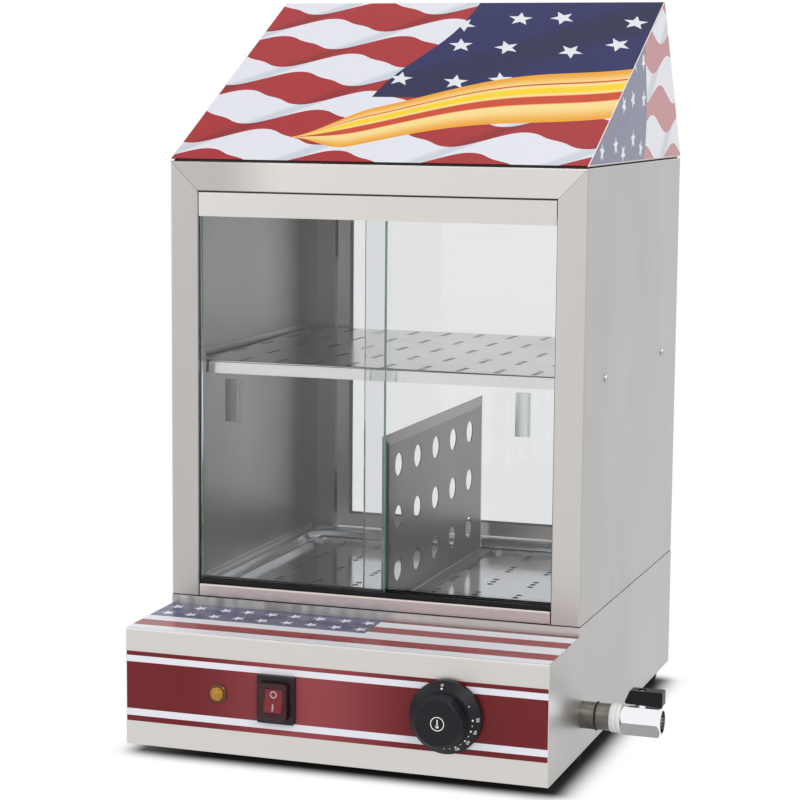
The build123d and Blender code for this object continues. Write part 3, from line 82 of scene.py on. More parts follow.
# ---------------- node graphs
class Signal:
    """A node's output that takes part in arithmetic."""

    def __init__(self, graph, socket):
        self.graph = graph
        self.socket = socket

    def math(self, operation, *others):
        return self.graph.node("ShaderNodeMath", {"operation": operation}, dict(enumerate((self, *others))))

    def __add__(self, other):
        return self.math("ADD", other)

    __radd__ = __add__

    def __sub__(self, other):
        return self.math("SUBTRACT", other)

    def __rsub__(self, other):
        return self.graph.node("ShaderNodeMath", {"operation": "SUBTRACT"}, {0: other, 1: self})

    def __mul__(self, other):
        return self.math("MULTIPLY", other)

    __rmul__ = __mul__

    def __truediv__(self, other):
        return self.math("DIVIDE", other)

    def __mod__(self, other):
        return self.math("FLOORED_MODULO", other)

    def __lt__(self, other):
        return self.math("LESS_THAN", other)

    def __gt__(self, other):
        return self.math("GREATER_THAN", other)

    def __and__(self, other):
        return self.math("MINIMUM", other)

    def __or__(self, other):
        return self.math("MAXIMUM", other)

    def __abs__(self):
        return self.math("ABSOLUTE")


class Graph:
    """A node tree: every node comes from node(), and sums come from Signal."""

    def __init__(self, tree):
        self.tree = tree

    def feed(self, socket, value):
        """Link signals to a socket, or set its plain value."""
        if isinstance(value, list):
            for part in value:
                self.feed(socket, part)
        elif isinstance(value, Signal):
            self.tree.links.new(value.socket, socket)
        elif socket.type == "RGBA":
            socket.default_value = (*value[:3], 1)
        else:
            socket.default_value = value

    def node(self, kind, settings=None, sockets=None, output=0):
        """Make a node, set its settings first and its sockets next, and give one output."""
        made = self.tree.nodes.new(kind)
        for name, value in (settings or {}).items():
            setattr(made, name, value)
        for key, value in (sockets or {}).items():
            self.feed(made.inputs[key], value)
        return Signal(self, made.outputs[output])

    def mix(self, factor, first, second):
        """Colours blended by a factor."""
        return self.node("ShaderNodeMix", {"data_type": "RGBA"}, {0: factor, 6: first, 7: second}, 2)

    def noise(self, vector, scale, detail=3.0, rough=0.5):
        """Cloudy noise about 0.5; scale is how often it repeats in a unit of the vector."""
        sockets = {"Vector": vector, "Scale": scale, "Detail": detail, "Roughness": rough}
        return self.node("ShaderNodeTexNoise", None, sockets)

    def stretched(self, vector, scale):
        """Coordinates or a colour, multiplied by one factor or by one for each part."""
        return self.node("ShaderNodeVectorMath", {"operation": "MULTIPLY"}, {0: vector, 1: scale})

    def ramp(self, value, start, end):
        """0 below start, 1 above end, smooth between."""
        sockets = {"Value": value, "From Min": start, "From Max": end}
        return self.node("ShaderNodeMapRange", {"interpolation_type": "SMOOTHSTEP"}, sockets)

    def parts(self, vector):
        """The three numbers of a vector."""
        outputs = self.node("ShaderNodeSeparateXYZ", None, {0: vector}).socket.node.outputs
        return [Signal(self, outputs[axis]) for axis in range(3)]

    def plain_view(self):
        """1 for rays of the camera, of mirrors and through glass, 0 for those that light the object."""
        rays = self.node("ShaderNodeLightPath").socket.node.outputs
        camera, glossy, through = [
            Signal(self, rays[f"Is {kind} Ray"]) for kind in ("Camera", "Glossy", "Transmission")]
        return camera | glossy | through


class Finish(Graph):
    """A material with a Principled shader. Constants go on its sockets."""

    def __init__(self, name, constants=None):
        self.material = bpy.data.materials.new(name)
        self.material.use_nodes = True
        super().__init__(self.material.node_tree)
        self.shader = self.tree.nodes["Principled BSDF"]
        self.set(constants or {})

    def set(self, sockets):
        """Feed sockets of the Principled shader by name."""
        for key, value in sockets.items():
            self.feed(self.shader.inputs[key], value)

    def place(self):
        """Object coordinates in metres."""
        return self.node("ShaderNodeTexCoord", None, None, "Object")

    def axes(self, unit=MM):
        """The three object coordinates, in millimetres unless another unit is given."""
        return self.parts(self.stretched(self.place(), (1 / unit,) * 3))

    def facing(self):
        """The three parts of the surface's own normal, which turn with its piece."""
        return self.parts(self.node("ShaderNodeTexCoord", None, None, "Normal"))

    def relief(self, height, depth, strength):
        """Bump of a given depth in metres."""
        sockets = {"Height": height, "Distance": depth, "Strength": strength}
        self.set({"Normal": self.node("ShaderNodeBump", None, sockets)})

    def skin(self, colour, roughness, height, depth, strength):
        """Everything that varies over a plain surface; gives the finished material."""
        self.set({"Base Color": colour, "Roughness": roughness})
        self.relief(height, depth, strength)
        return self.material

    def blend(self, factor, second):
        """Mix a second shader into the first by a factor."""
        first = Signal(self, self.shader.outputs[0])
        both = self.node("ShaderNodeMixShader", None, {0: factor, 1: first, 2: second})
        self.feed(self.tree.nodes["Material Output"].inputs["Surface"], both)


class Layout(Graph):
    """A Geometry Nodes tree whose sizes are named inputs."""

    KINDS = {int: "Int", float: "Float", tuple: "Vector", bpy.types.Object: "Object"}

    def __init__(self, name, sizes):
        super().__init__(bpy.data.node_groups.new(name, "GeometryNodeTree"))
        interface = self.tree.interface
        interface.new_socket("Geometry", in_out="INPUT", socket_type="NodeSocketGeometry")
        interface.new_socket("Geometry", in_out="OUTPUT", socket_type="NodeSocketGeometry")
        self.values = {}
        for label, value in sizes.items():
            kind = "NodeSocket" + self.KINDS[type(value)]
            self.values[interface.new_socket(label, in_out="INPUT", socket_type=kind).identifier] = value
        self.entry = self.tree.nodes.new("NodeGroupInput")
        self.exit = self.tree.nodes.new("NodeGroupOutput")

    def size(self, label):
        """The signal of a named input."""
        return Signal(self, self.entry.outputs[label])

    def bake(self, geometry, material, points=None):
        """The realized result as a plain mesh."""
        whole = self.node("GeometryNodeRealizeInstances", None, {0: geometry})
        painted = self.node("GeometryNodeSetMaterial", None, {"Geometry": whole, "Material": material})
        self.feed(self.exit.inputs[0], painted)
        host = bpy.data.objects.new(self.tree.name, points or bpy.data.meshes.new(self.tree.name))
        bpy.context.scene.collection.objects.link(host)
        modifier = host.modifiers.new("layout", "NODES")
        modifier.node_group = self.tree
        for identifier, value in self.values.items():
            modifier[identifier] = value
        host.update_tag()
        seen = host.evaluated_get(bpy.context.evaluated_depsgraph_get())
        mesh = bpy.data.meshes.new_from_object(seen)
        host.modifiers.remove(modifier)
        bpy.data.objects.remove(host)
        return mesh


# ---------------- meshes and pieces
DOUBLE = 1e-6


def dress(material, *nodes):
    """Give CAD nodes a finish."""
    for name in nodes:
        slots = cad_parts[name].data.materials
        for index in range(len(slots)):
            slots[index] = material


def creased(mesh):
    """Smooth shading with sharp edges past 30 degrees."""
    mesh.polygons.foreach_set("use_smooth", [True] * len(mesh.polygons))
    mesh.set_sharp_from_angle(angle=radians(30))
    return mesh


def piece(name, mesh, body, slot, *replaced):
    """Put a finished mesh into the scene as a piece that rides on a body."""
    made = bpy.data.objects.new(name, mesh)
    bpy.context.scene.collection.objects.link(made)
    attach(made, body)
    if replaced:
        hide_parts(*replaced)


def meshed(name, work, *materials, tidy=True):
    """A mesh from a bmesh; tidy merges its doubles and turns its normals outwards."""
    if tidy:
        bmesh.ops.remove_doubles(work, verts=work.verts, dist=DOUBLE)
        bmesh.ops.recalc_face_normals(work, faces=work.faces)
    mesh = bpy.data.meshes.new(name)
    work.to_mesh(mesh)
    work.free()
    for material in materials:
        mesh.materials.append(material)
    return mesh


def joined(name, meshes, *materials):
    """Several meshes as one, as they are."""
    work = bmesh.new()
    for mesh in meshes:
        work.from_mesh(mesh)
    return meshed(name, work, *materials, tidy=False)


def block(work, corner_low, corner_high):
    """A plain box, for a strip of sheet."""
    size = Vector(corner_high) - Vector(corner_low)
    centre = (Vector(corner_high) + Vector(corner_low)) / 2
    matrix = Matrix.Translation(centre) @ Matrix.Diagonal((*size, 1))
    bmesh.ops.create_cube(work, size=1.0, matrix=matrix)


def moulding(work, corner_low, corner_high, profile):
    """Carry a closed profile of (outset, height) round a rectangle, with mitred corners."""
    rings = []
    for side_x, side_y in ((1, 1), (-1, 1), (-1, -1), (1, -1)):
        x = corner_high[0] if side_x > 0 else corner_low[0]
        y = corner_high[1] if side_y > 0 else corner_low[1]
        places = [(x + side_x * outset, y + side_y * outset, height) for outset, height in profile]
        rings.append([work.verts.new(place) for place in places])
    for number, ring in enumerate(rings):
        following = rings[(number + 1) % len(rings)]
        for corner in range(len(profile)):
            onward = (corner + 1) % len(profile)
            work.faces.new((ring[corner], following[corner], following[onward], ring[onward]))


def turned(work, profile, segments, matrix, closed=True):
    """Revolve a profile of (radius, height) about its own Z, then place it."""
    rings = []
    for radius, height in profile:
        steps = segments if radius > DOUBLE else 1
        angles = [2 * pi * step / segments for step in range(steps)]
        points = [Vector((radius * cos(angle), radius * sin(angle), height)) for angle in angles]
        rings.append([work.verts.new(matrix @ point) for point in points])
    pairs = list(zip(rings, rings[1:]))
    if closed and len(rings[0]) > 1 and len(rings[-1]) > 1:
        pairs.append((rings[-1], rings[0]))
    for lower, upper in pairs:
        for step in range(segments):
            onward = (step + 1) % segments
            if len(lower) == 1:
                corners = (lower[0], upper[step], upper[onward])
            elif len(upper) == 1:
                corners = (lower[step], lower[onward], upper[0])
            else:
                corners = (lower[step], lower[onward], upper[onward], upper[step])
            work.faces.new(corners).smooth = True


def lettering(text, height, thickness):
    """A mesh of centred plain numerals or signs, lying in its own XY plane."""
    curve = bpy.data.curves.new("lettering", "FONT")
    curve.body = text
    curve.size = height
    curve.align_x = "CENTER"
    curve.align_y = "CENTER"
    curve.extrude = thickness / 2
    curve.resolution_u = 3
    host = bpy.data.objects.new("lettering", curve)
    bpy.context.scene.collection.objects.link(host)
    bpy.context.view_layer.update()
    mesh = bpy.data.meshes.new_from_object(host.evaluated_get(bpy.context.evaluated_depsgraph_get()))
    bpy.data.objects.remove(host)
    return mesh


# ---------------- settings
def colour_property(name, description, colour):
    """A colour that the panel shows as a swatch."""
    return FloatVectorProperty(
        name=name, description=description, subtype="COLOR", size=3, default=colour, min=0, max=1)


class SheetSettings(bpy.types.PropertyGroup):
    """Stainless sheet."""

    tone: colour_property("Tone", "Colour of the brushed sheet", screen(216, 212, 208))
    # Painted shade: the sheet takes the side tone where it faces sideways.
    side_shade_tone: colour_property("Side Tone", "Colour where the sheet faces sideways", screen(192, 191, 190))
    # Painted reflection: the sill's pink stands for the red and white ledge mirrored in it, over the real
    # reflection its low roughness gives.
    sill_reflection_tone: colour_property("Warm Tone", "Colour of the sill", screen(214, 205, 201))
    roughness: FloatProperty(
        name="Roughness", description="Middle roughness of the brushed sheet", default=0.36, min=0, max=1)
    grain: FloatProperty(
        name="Grain", description="Depth of the brushing", unit="LENGTH", default=0.012 * MM, min=0, max=MM)


class PrintSettings(bpy.types.PropertyGroup):
    """Printed films."""

    red: colour_property("Red", "Red of the sign", screen(180, 44, 50))
    band: colour_property("Band", "Dark red of the front band", screen(104, 22, 27))
    white: colour_property("White", "White of the films", screen(230, 231, 239))
    shade: colour_property("Shade", "Folds drawn on the white stripes", screen(206, 212, 222))
    navy: colour_property("Navy", "Blue of the star field", screen(32, 35, 98))
    gold: colour_property("Gold", "Outer colour of the ribbon", screen(240, 166, 44))
    cream: colour_property("Cream", "Light colour of the ribbon", screen(252, 222, 146))
    orange: colour_property("Orange", "Core colour of the ribbon", screen(206, 72, 40))
    yellow: colour_property("Yellow", "Bright line of the ribbon", screen(252, 214, 30))


class GlassSettings(bpy.types.PropertyGroup):
    """Glass of the doors."""

    body: colour_property("Body", "Colour through the face", (0.885, 0.892, 0.9))
    edge: colour_property("Edge", "Colour of the ground edges", screen(120, 165, 145))


class FittingSettings(bpy.types.PropertyGroup):
    """Knobs, lamp, switch and valve."""

    black: colour_property("Black", "Moulded black parts", screen(24, 23, 28))
    amber: colour_property("Amber", "Pilot lamp", screen(246, 176, 16))
    rocker: colour_property("Rocker", "Switch rocker", screen(184, 34, 60))
    marks: colour_property("Marks", "Printed marks on the knob and rocker", screen(240, 240, 240))


class StageSettings(bpy.types.PropertyGroup):
    """Floor, lamps and camera."""

    floor: colour_property("Floor", "Colour of the floor", (0.93, 0.93, 0.93))
    ambient: FloatProperty(name="Ambient", description="Light from all round", default=0.62, min=0)
    key: FloatProperty(name="Key", description="Lamp at the front right", unit="POWER", default=26.0, min=0)
    fill: FloatProperty(name="Fill", description="Lamp at the front left", unit="POWER", default=9.0, min=0)
    top: FloatProperty(name="Top", description="Lamp overhead", unit="POWER", default=12.0, min=0)
    lens: FloatProperty(name="Lens", description="Focal length in millimetres", default=104.587, min=10)


# ---------------- finishes of metal
AXES = "XYZ"

# The brushing's pitch and length, and how many smears come in a metre on each axis.
GRAIN_PITCH = 0.9 * MM
GRAIN_LENGTH = 90 * MM
SMEARS = (9.0, 9.0, 5.0)

# Parts of a face's normal past which it looks along an axis, or leans that way.
SQUARE_ON = 0.5
LEANING = 0.05

# Shares by which painted shade and painted reflections dim a face, and the places where they do, in
# millimetres.
GLOOM = 0.4
GLOOM_AT_FLOOR = 0.1
GLOOM_HEIGHT = 160
SHADED_END_SPAN = (40, 105)
END_SHADE_SHARE = 0.32
SEAM_DARK = 0.85
SEAM_HEIGHT = 0.9
FLANK_SHADE = 0.12
STEP_SHADE = 0.2
STEP_CLEARS = (-150, 130)
HOLE_DARK = 0.96
PLATE_EDGE = 1.2
PAN_DARK = 0.94
PAN_EDGE = 0.2

# Shares of painted highlight on the lips of the divider, the tone of the shelf, and the share of painted
# highlight on its front flange.
LIP_TOP = 0.7
LIP_REAR = 1.6
LIP_FRONT = 0.3
SHELF_TONE = 0.88
FLANGE_LIFT = 0.52

# A chromed hexagon: how far a facet looks down or to the left to take a painted dark reflection, and by what
# share.
HEX_UNDER = -0.2
HEX_END = (-0.97, -0.25)
HEX_DARK = (0.6, 0.7)


def shaded(colour, share):
    """A colour made darker or lighter by one factor."""
    return tuple(level * share for level in colour)


def brushed(name, grain_axis, front=None, shaded_side=None, rough=None, shade=None, keen=1.0):
    """Stainless sheet brushed along one axis.

    Faces that look sideways may take a second colour, a painted shade; shade may paint light and shade onto
    the colour by place; keen is the grain's share.
    """
    settings = bpy.context.scene.steamer_sheet
    steel = Finish(name, {"Metallic": 1.0})
    stretch = [1 / GRAIN_PITCH] * 3
    stretch[AXES.index(grain_axis)] = 1 / GRAIN_LENGTH
    place = steel.place()
    lines = steel.noise(steel.stretched(place, tuple(stretch)), 1.0, 5.0, 0.65)
    smears = steel.noise(steel.stretched(place, SMEARS), 1.0, 4.0, 0.6)
    front = front or settings.tone
    # Painted shade: a face takes the shaded side's colour as far as it looks along X.
    colour = steel.mix(abs(steel.facing()[0]), front, shaded_side or front)
    weight = (lines - 0.5) * (0.7 * keen) + (smears - 0.5) * 0.5 + 0.25
    colour = steel.stretched(colour, 1 - weight * 0.14)
    if shade:
        colour = shade(steel, colour)
    base = settings.roughness if rough is None else rough
    roughness = (lines - 0.5) * (0.28 * keen) + (smears - 0.5) * 0.16 + base
    return steel.skin(colour, roughness, lines, settings.grain, 0.6 * keen)


def painted_inner_shade(steel, colour):
    """Painted shade: dim the faces that look into the cabinet, most of all near its floor."""
    x, _, z = steel.axes()
    across = steel.facing()[0]
    inward = (x * across < 0) & (abs(across) > SQUARE_ON)
    depth = steel.ramp(z, high("front_sill").z / MM + GLOOM_HEIGHT, low("front_sill").z / MM)
    return steel.stretched(colour, 1 - inward * (depth * GLOOM_AT_FLOOR + GLOOM))


def painted_end_shade(steel, colour):
    """Painted shade: dim the left end of the top sheet, which mirrors a darker corner, and paint a shadow
    line along the open seam under its rail.
    """
    x, _, z = steel.axes()
    corner = low("top_panel") / MM
    seam = z < corner.z + SEAM_HEIGHT
    clear = steel.ramp(x, corner.x + SHADED_END_SPAN[0], corner.x + SHADED_END_SPAN[1]) * END_SHADE_SHARE + (1 - END_SHADE_SHARE)
    return steel.stretched(colour, clear * (1 - seam * SEAM_DARK))


def painted_fold_light(steel, colour):
    """Painted highlights: brighten the bent lips of the divider against its plate."""
    across, along, up = steel.facing()
    face = abs(across) > SQUARE_ON
    top = (up > LEANING) & face
    rear = (along > LEANING) & face
    front = (along < -LEANING) & face
    return steel.stretched(colour, top * LIP_TOP + rear * LIP_REAR + front * LIP_FRONT + 1)


def painted_case_light(steel, colour):
    """Painted reflections in blotches on the step behind the ledge, clearer to the right, and painted shade
    that dulls the flanks.
    """
    x, y, _ = steel.axes()
    across, along, _ = steel.facing()
    behind = (y > high("ledge_decal").y / MM - 10) & (along < -SQUARE_ON)
    cloud = steel.noise(steel.stretched(steel.place(), (48.0, 26.0, 30.0)), 1.0, 2.0)
    patches = steel.ramp((x / 2.2).math("SINE") * 0.12 + cloud, 0.35, 0.65)
    rise = steel.ramp(x, *STEP_CLEARS)
    # Painted reflection: the step is darker and blotchy, clearing towards the right.
    painted_step_reflection = STEP_SHADE - rise * 0.22 + (patches - 0.5) * (1 - rise) * 0.34
    shaded_side = abs(across) > SQUARE_ON
    return steel.stretched(colour, 1 - behind * painted_step_reflection - shaded_side * FLANK_SHADE)


def painted_shelf_light(steel, colour):
    """Painted highlight on the flange of the shelf that faces the front, and painted shade that blackens the
    walls of its holes.
    """
    _, y, z = steel.axes()
    _, along, up = steel.facing()
    front = along < -SQUARE_ON
    inside = (y > low("middle_shelf").y / MM + 5) & (z > high("middle_shelf").z / MM - PLATE_EDGE)
    holes = (abs(up) < SQUARE_ON) & inside
    return steel.stretched(colour, (front * FLANGE_LIFT + SHELF_TONE) * (1 - holes * HOLE_DARK))


def painted_rim_shadow(steel, colour):
    """Painted shadow: blacken the edge of the pan's flange, which lies in the seam between case and cabinet.
    """
    z = steel.axes()[2]
    seam = (z > high("base_housing").z / MM - PAN_EDGE) & (abs(steel.facing()[2]) < SQUARE_ON)
    return steel.stretched(colour, 1 - seam * PAN_DARK)


def plated(name, colour, rough=0.22, speck=420.0):
    """Plated or turned metal with a fine uneven skin, speckled a quarter darker."""
    metal = Finish(name, {"Metallic": 1.0})
    cloud = metal.noise(metal.place(), speck, 4.0)
    colour = metal.mix(cloud, colour, shaded(colour, 0.74))
    return metal.skin(colour, (cloud - 0.5) * 0.2 + rough, cloud, 0.02 * MM, 0.4)


def chrome(name, colour):
    """Bright plating over a hexagon: its under and end facets take a painted reflection of the dark beneath.
    """
    metal = Finish(name, {"Metallic": 1.0})
    across, _, up = metal.facing()
    cloud = metal.noise(metal.place(), 160.0, 4.0)
    under = (up < HEX_UNDER) & (abs(across) < SQUARE_ON)
    end = (across < HEX_END[1]) & (across > HEX_END[0])
    dark = under * HEX_DARK[0] | end * HEX_DARK[1]
    colour = metal.stretched(colour, 1 - dark - cloud * 0.06)
    return metal.skin(colour, (cloud - 0.5) * 0.1 + 0.1, cloud, 0.02 * MM, 0.15)


def bare_pipe(name):
    """Bare drawn pipe: grey, lightly stained, with draw marks along it."""
    pipe = Finish(name, {"Metallic": 1.0})
    stains = pipe.noise(pipe.place(), 90.0, 5.0, 0.6)
    draws = pipe.noise(pipe.stretched(pipe.place(), (60.0, 900.0, 900.0)), 1.0, 3.0)
    weight = pipe.ramp(stains * 0.6 + draws * 0.4, 0.36, 0.66) * 0.7
    colour = pipe.mix(weight, screen(132, 127, 119), screen(96, 90, 82))
    return pipe.skin(colour, stains * 0.25 + 0.24, draws, 0.03 * MM, 0.4)


# ---------------- finishes of plastic, rubber and glass
# The ground finger groove of a sliding door, in millimetres.
PULL_X = 126.0
PULL_Z = 293.3
PULL_HALF_WIDTH = 6.3
PULL_HALF_HEIGHT = 18.0
PULL_BEVEL = (1.6, 0.4)


def moulded(name, colour, rough=0.38, grain=900.0, depth=0.02, gloss=0.5):
    """Moulded plastic with a fine sparked texture and slight wear; depth is in millimetres."""
    plastic = Finish(name, {"IOR": 1.5, "Specular IOR Level": gloss})
    texture = plastic.noise(plastic.place(), grain, 3.0, 0.6)
    worn = plastic.ramp(plastic.noise(plastic.place(), 55.0, 4.0), 0.45, 0.75)
    light = tuple(min(1.0, level * 1.35 + 0.008) for level in colour)
    colour = plastic.mix(worn * 0.55, colour, light)
    return plastic.skin(colour, (texture - 0.5) * 0.22 + rough, texture, depth * MM, 0.55)


def soft_rubber(name):
    """Dull black rubber with dust in its pores."""
    rubber = Finish(name, {"IOR": 1.45})
    pores = rubber.noise(rubber.place(), 700.0, 5.0, 0.7)
    dust = rubber.ramp(rubber.noise(rubber.place(), 38.0, 3.0), 0.5, 0.8)
    colour = rubber.mix(dust * 0.4, screen(26, 26, 27), screen(62, 61, 60))
    return rubber.skin(colour, pores * 0.3 + 0.55, pores, 0.04 * MM, 0.6)


def tinted(name, colour, rough, transmission, cells=0.0):
    """Translucent coloured plastic; cells is the pitch of its moulded prisms in millimetres, or 0."""
    clear = Finish(name, {"IOR": 1.49, "Transmission Weight": transmission})
    x, _, z = clear.axes()
    cloud = clear.noise(clear.place(), 240.0, 3.0)
    relief = (cloud, 0.03 * MM, 0.4)
    if cells:
        ridge = abs((x / cells) % 1.0 - 0.5) + abs((z / cells) % 1.0 - 0.5)
        relief = (ridge, 0.5 * MM, 0.9)
    colour = clear.mix(cloud * 0.5, colour, shaded(colour, 0.6))
    return clear.skin(colour, (cloud - 0.5) * 0.1 + rough, *relief)


def clear_cover(name, tint):
    """Thin clear plastic that shows only as a faint tint and a gloss."""
    cover = Finish(name, {"IOR": 1.5, "Base Color": tint, "Roughness": 0.08})
    scuffs = cover.noise(cover.place(), 120.0, 4.0, 0.6)
    cover.set({"Alpha": cover.ramp(scuffs, 0.3, 0.8) * 0.1 + 0.16})
    return cover.material


def float_glass(name, pull_x=None):
    """Clear pane: green ground edges, and a frosted finger groove where one is ground in."""
    settings = bpy.context.scene.steamer_glass
    glass = Finish(name, {"IOR": 1.45, "Transmission Weight": 1.0})
    x, _, z = glass.axes()
    rim = abs(glass.facing()[1]) < 0.6
    haze = glass.noise(glass.stretched(glass.place(), (14.0, 14.0, 9.0)), 1.0, 5.0, 0.6)
    colour = settings.body
    rough = glass.ramp(haze, 0.52, 0.85) * 0.035
    if pull_x is not None:
        off = abs(x - pull_x)
        ground = (off < PULL_HALF_WIDTH) & (abs(z - PULL_Z) < PULL_HALF_HEIGHT)
        speck = glass.noise(glass.place(), 2400.0, 2.0)
        rough = rough + ground * 0.42
        bevel = [PULL_HALF_WIDTH - inset for inset in PULL_BEVEL]
        bright = glass.ramp(off, *bevel) * 0.5
        colour = glass.mix(ground * (speck * 0.3 + 0.3 + bright), colour, screen(226, 232, 232))
        rim = rim & (1 - ground)
    glass.set({"Base Color": colour, "Roughness": rough})
    edge = {"Base Color": settings.edge, "Roughness": 0.3, "IOR": 1.45, "Specular IOR Level": 0.6}
    glass.blend(rim, glass.node("ShaderNodeBsdfPrincipled", None, edge))
    return glass.material


# ---------------- printed films
FILM_ROUGH = 0.24
UPWARD_DIMMING = (0.84,) * 3
STAR_POINTS = 5
STAR_WAIST = 0.42

# The wave of the stripes, in millimetres: its length over 2 pi, its start, how far it trails for each
# millimetre of height, and the share of the lowest red stripe that lies below the film's edge.
WAVE_REACH = 18.3
WAVE_START = 14.5
WAVE_TRAIL = 1.07
STRIPE_START = 0.86

# The ribbon on the header, in millimetres: its tip, shoulder and full breadth along X, the height, climb and
# swing of its spine, and half its thickness at the tip, with the gains up to shoulder and full breadth.
RIBBON_TIP = -88.0
RIBBON_SHOULDER = -28.0
RIBBON_FULL = 120.0
RIBBON_FOOT = 74
RIBBON_CLIMB = 0.32
RIBBON_SWING = (40, 9)
RIBBON_THICK = (0.5, 33, 10)

# The star field on the header and its tilt against the vertical, in millimetres.
FIELD_LEFT = -62.0
FIELD_FOOT = 112.0
FIELD_LEAN = 0.25

# Where the star fields of the ends and of the ledge stop, and the white lines of the front, in millimetres.
END_FIELD = 190.0
LEDGE_FIELD = 12.0
FRONT_LINES = ((4.6, 10.4), (49.9, 55.2))


def print_film(name, gloss=0.2):
    """A glossy printed film, its ink slightly uneven."""
    film = Finish(name, {"IOR": 1.5, "Specular IOR Level": gloss})
    ripple = film.noise(film.place(), 60.0, 2.0)
    film.set({"Roughness": (ripple - 0.5) * 0.1 + FILM_ROUGH})
    film.relief(ripple, 0.06 * MM, 0.35)
    return film


def stars(film, across, along, pitch, radius, scatter, turn):
    """Five-pointed stars, one to a square cell, each shifted and turned by its cell's own chance."""
    waist = STAR_WAIST * radius
    step = 2 * pi / STAR_POINTS
    normal_x = waist * sin(step / 2)
    normal_y = radius - waist * cos(step / 2)
    column = (across / pitch).math("FLOOR")
    row = (along / pitch).math("FLOOR")
    cell = film.node("ShaderNodeCombineXYZ", None, {0: column, 1: row})
    chance = film.node("ShaderNodeTexWhiteNoise", {"noise_dimensions": "2D"}, {"Vector": cell}, "Color")
    parts = film.node("ShaderNodeSeparateColor", None, {0: chance}).socket.node.outputs
    shift_x, shift_y = [(Signal(film, part) - 0.5) * scatter for part in parts[:2]]
    local_x = across % pitch - pitch / 2 + shift_x
    local_y = along % pitch - pitch / 2 + shift_y
    reach = (local_x * local_x + local_y * local_y).math("SQRT")
    angle = local_x.math("ARCTAN2", local_y) + Signal(film, parts[2]) * turn
    folded = abs((angle + step / 2) % step - step / 2)
    edge = reach * folded.math("COSINE") * normal_x + reach * folded.math("SINE") * normal_y
    return edge < radius * normal_x


def waving_stripes(film, across, along, width, sway):
    """Masks of wavy stripes and of the folds that shade them; each stripe's wave trails the one below."""
    level = along
    for _ in range(4):
        phase = (across - level * WAVE_TRAIL + WAVE_START) / WAVE_REACH
        level = along + phase.math("SINE") * sway
    red = ((level + width * STRIPE_START) % (2 * width)) < width
    fold = film.ramp((phase - 0.7).math("SINE"), 0.5, 0.9)
    return red, fold


def ribbon(film, across, along):
    """A warm ribbon in bands that sweeps up to the right: its colour and its mask."""
    inks = bpy.context.scene.steamer_print
    length, swing = RIBBON_SWING
    tip, swell, spread = RIBBON_THICK
    spine = (across / length).math("SINE") * swing + across * RIBBON_CLIMB + RIBBON_FOOT
    swelling = film.ramp(across, RIBBON_TIP, RIBBON_SHOULDER) * swell
    thick = swelling + film.ramp(across, RIBBON_SHOULDER, RIBBON_FULL) * spread + tip
    offset = (along - spine) / thick
    colour = film.mix(film.ramp(offset, -1.0, -0.4), inks.gold, inks.cream)
    colour = film.mix(film.ramp(offset, 0.5, 0.95), colour, inks.gold)
    core = film.ramp(offset, -0.30, -0.22) & film.ramp(offset, 0.10, 0.05)
    colour = film.mix(core, colour, inks.orange)
    for start, end, ink in ((0.18, 0.42, inks.yellow), (0.54, 0.60, inks.orange)):
        colour = film.mix((offset > start) & (offset < end), colour, ink)
    return colour, (abs(offset) < 1.0) & (across > RIBBON_TIP + 2)


def header_print():
    """Waving stripes on the left, a star field on the right and a warm ribbon sweeping below it."""
    inks = bpy.context.scene.steamer_print
    film = print_film("header_film", 0.08)
    x, y, z = film.axes()
    origin = low("header_decal") / MM
    top = high("header_decal") / MM
    slope = atan2(top.z - origin.z, top.y - origin.y)
    up = (y - origin.y) * cos(slope) + (z - origin.z) * sin(slope)
    red, fold = waving_stripes(film, x, up, width=35.0, sway=13.0)
    pale = film.mix(fold, inks.white, inks.shade)
    deep = film.mix(fold * 0.4, shaded(inks.red, 0.88), inks.band)
    colour = film.mix(red, pale, deep)
    field = (x - up * FIELD_LEAN - (up / 30).math("SINE") * 5 > FIELD_LEFT) & (up > FIELD_FOOT)
    dusk = film.ramp(((x - up * 1.3 + 250) / 46).math("SINE"), 0.3, 0.95) * 0.5
    sky = film.mix(dusk, shaded(inks.navy, 0.85), screen(20, 22, 42))
    across = x + up * FIELD_LEAN + 9
    shapes = stars(film, across, (up + 4) * 0.86, pitch=50.0, radius=11.5, scatter=22.0, turn=1.6)
    sky = film.mix(shapes, sky, inks.white)
    colour = film.mix(field, colour, sky)
    warm, inside = ribbon(film, x, up)
    film.set({"Base Color": film.stretched(film.mix(inside, colour, warm), UPWARD_DIMMING)})
    return film.material


def end_print():
    """The ends of the header: a star field in front and waving stripes behind, in pale colours that are a
    painted reflection washing them.
    """
    inks = bpy.context.scene.steamer_print
    film = print_film("header_end_film")
    _, y, z = film.axes()
    base = low("header_end_decals") / MM
    across = y - base.y
    up = z - base.z
    red, fold = waving_stripes(film, across, up, width=26.0, sway=8.0)
    # Painted reflection: the pale shade, pale red and grey-blue stand for the glare that washes the ends.
    pale = film.mix(fold, inks.white, screen(206, 208, 216))
    colour = film.mix(red, pale, screen(190, 116, 122))
    shapes = stars(film, across + 6, up + 4, pitch=34.0, radius=8.5, scatter=14.0, turn=1.4)
    sky = film.mix(shapes, screen(104, 108, 138), inks.white)
    field = (across - (up / 24).math("SINE") * 6) < END_FIELD
    film.set({"Base Color": film.mix(field, colour, sky)})
    return film.material


def banded(film, value, colours):
    """Flat bands: a list of (upper limit, colour) from the lowest."""
    colour = colours[0][1]
    for (limit, _), (_, following) in zip(colours, colours[1:]):
        colour = film.mix(value > limit, colour, following)
    return colour


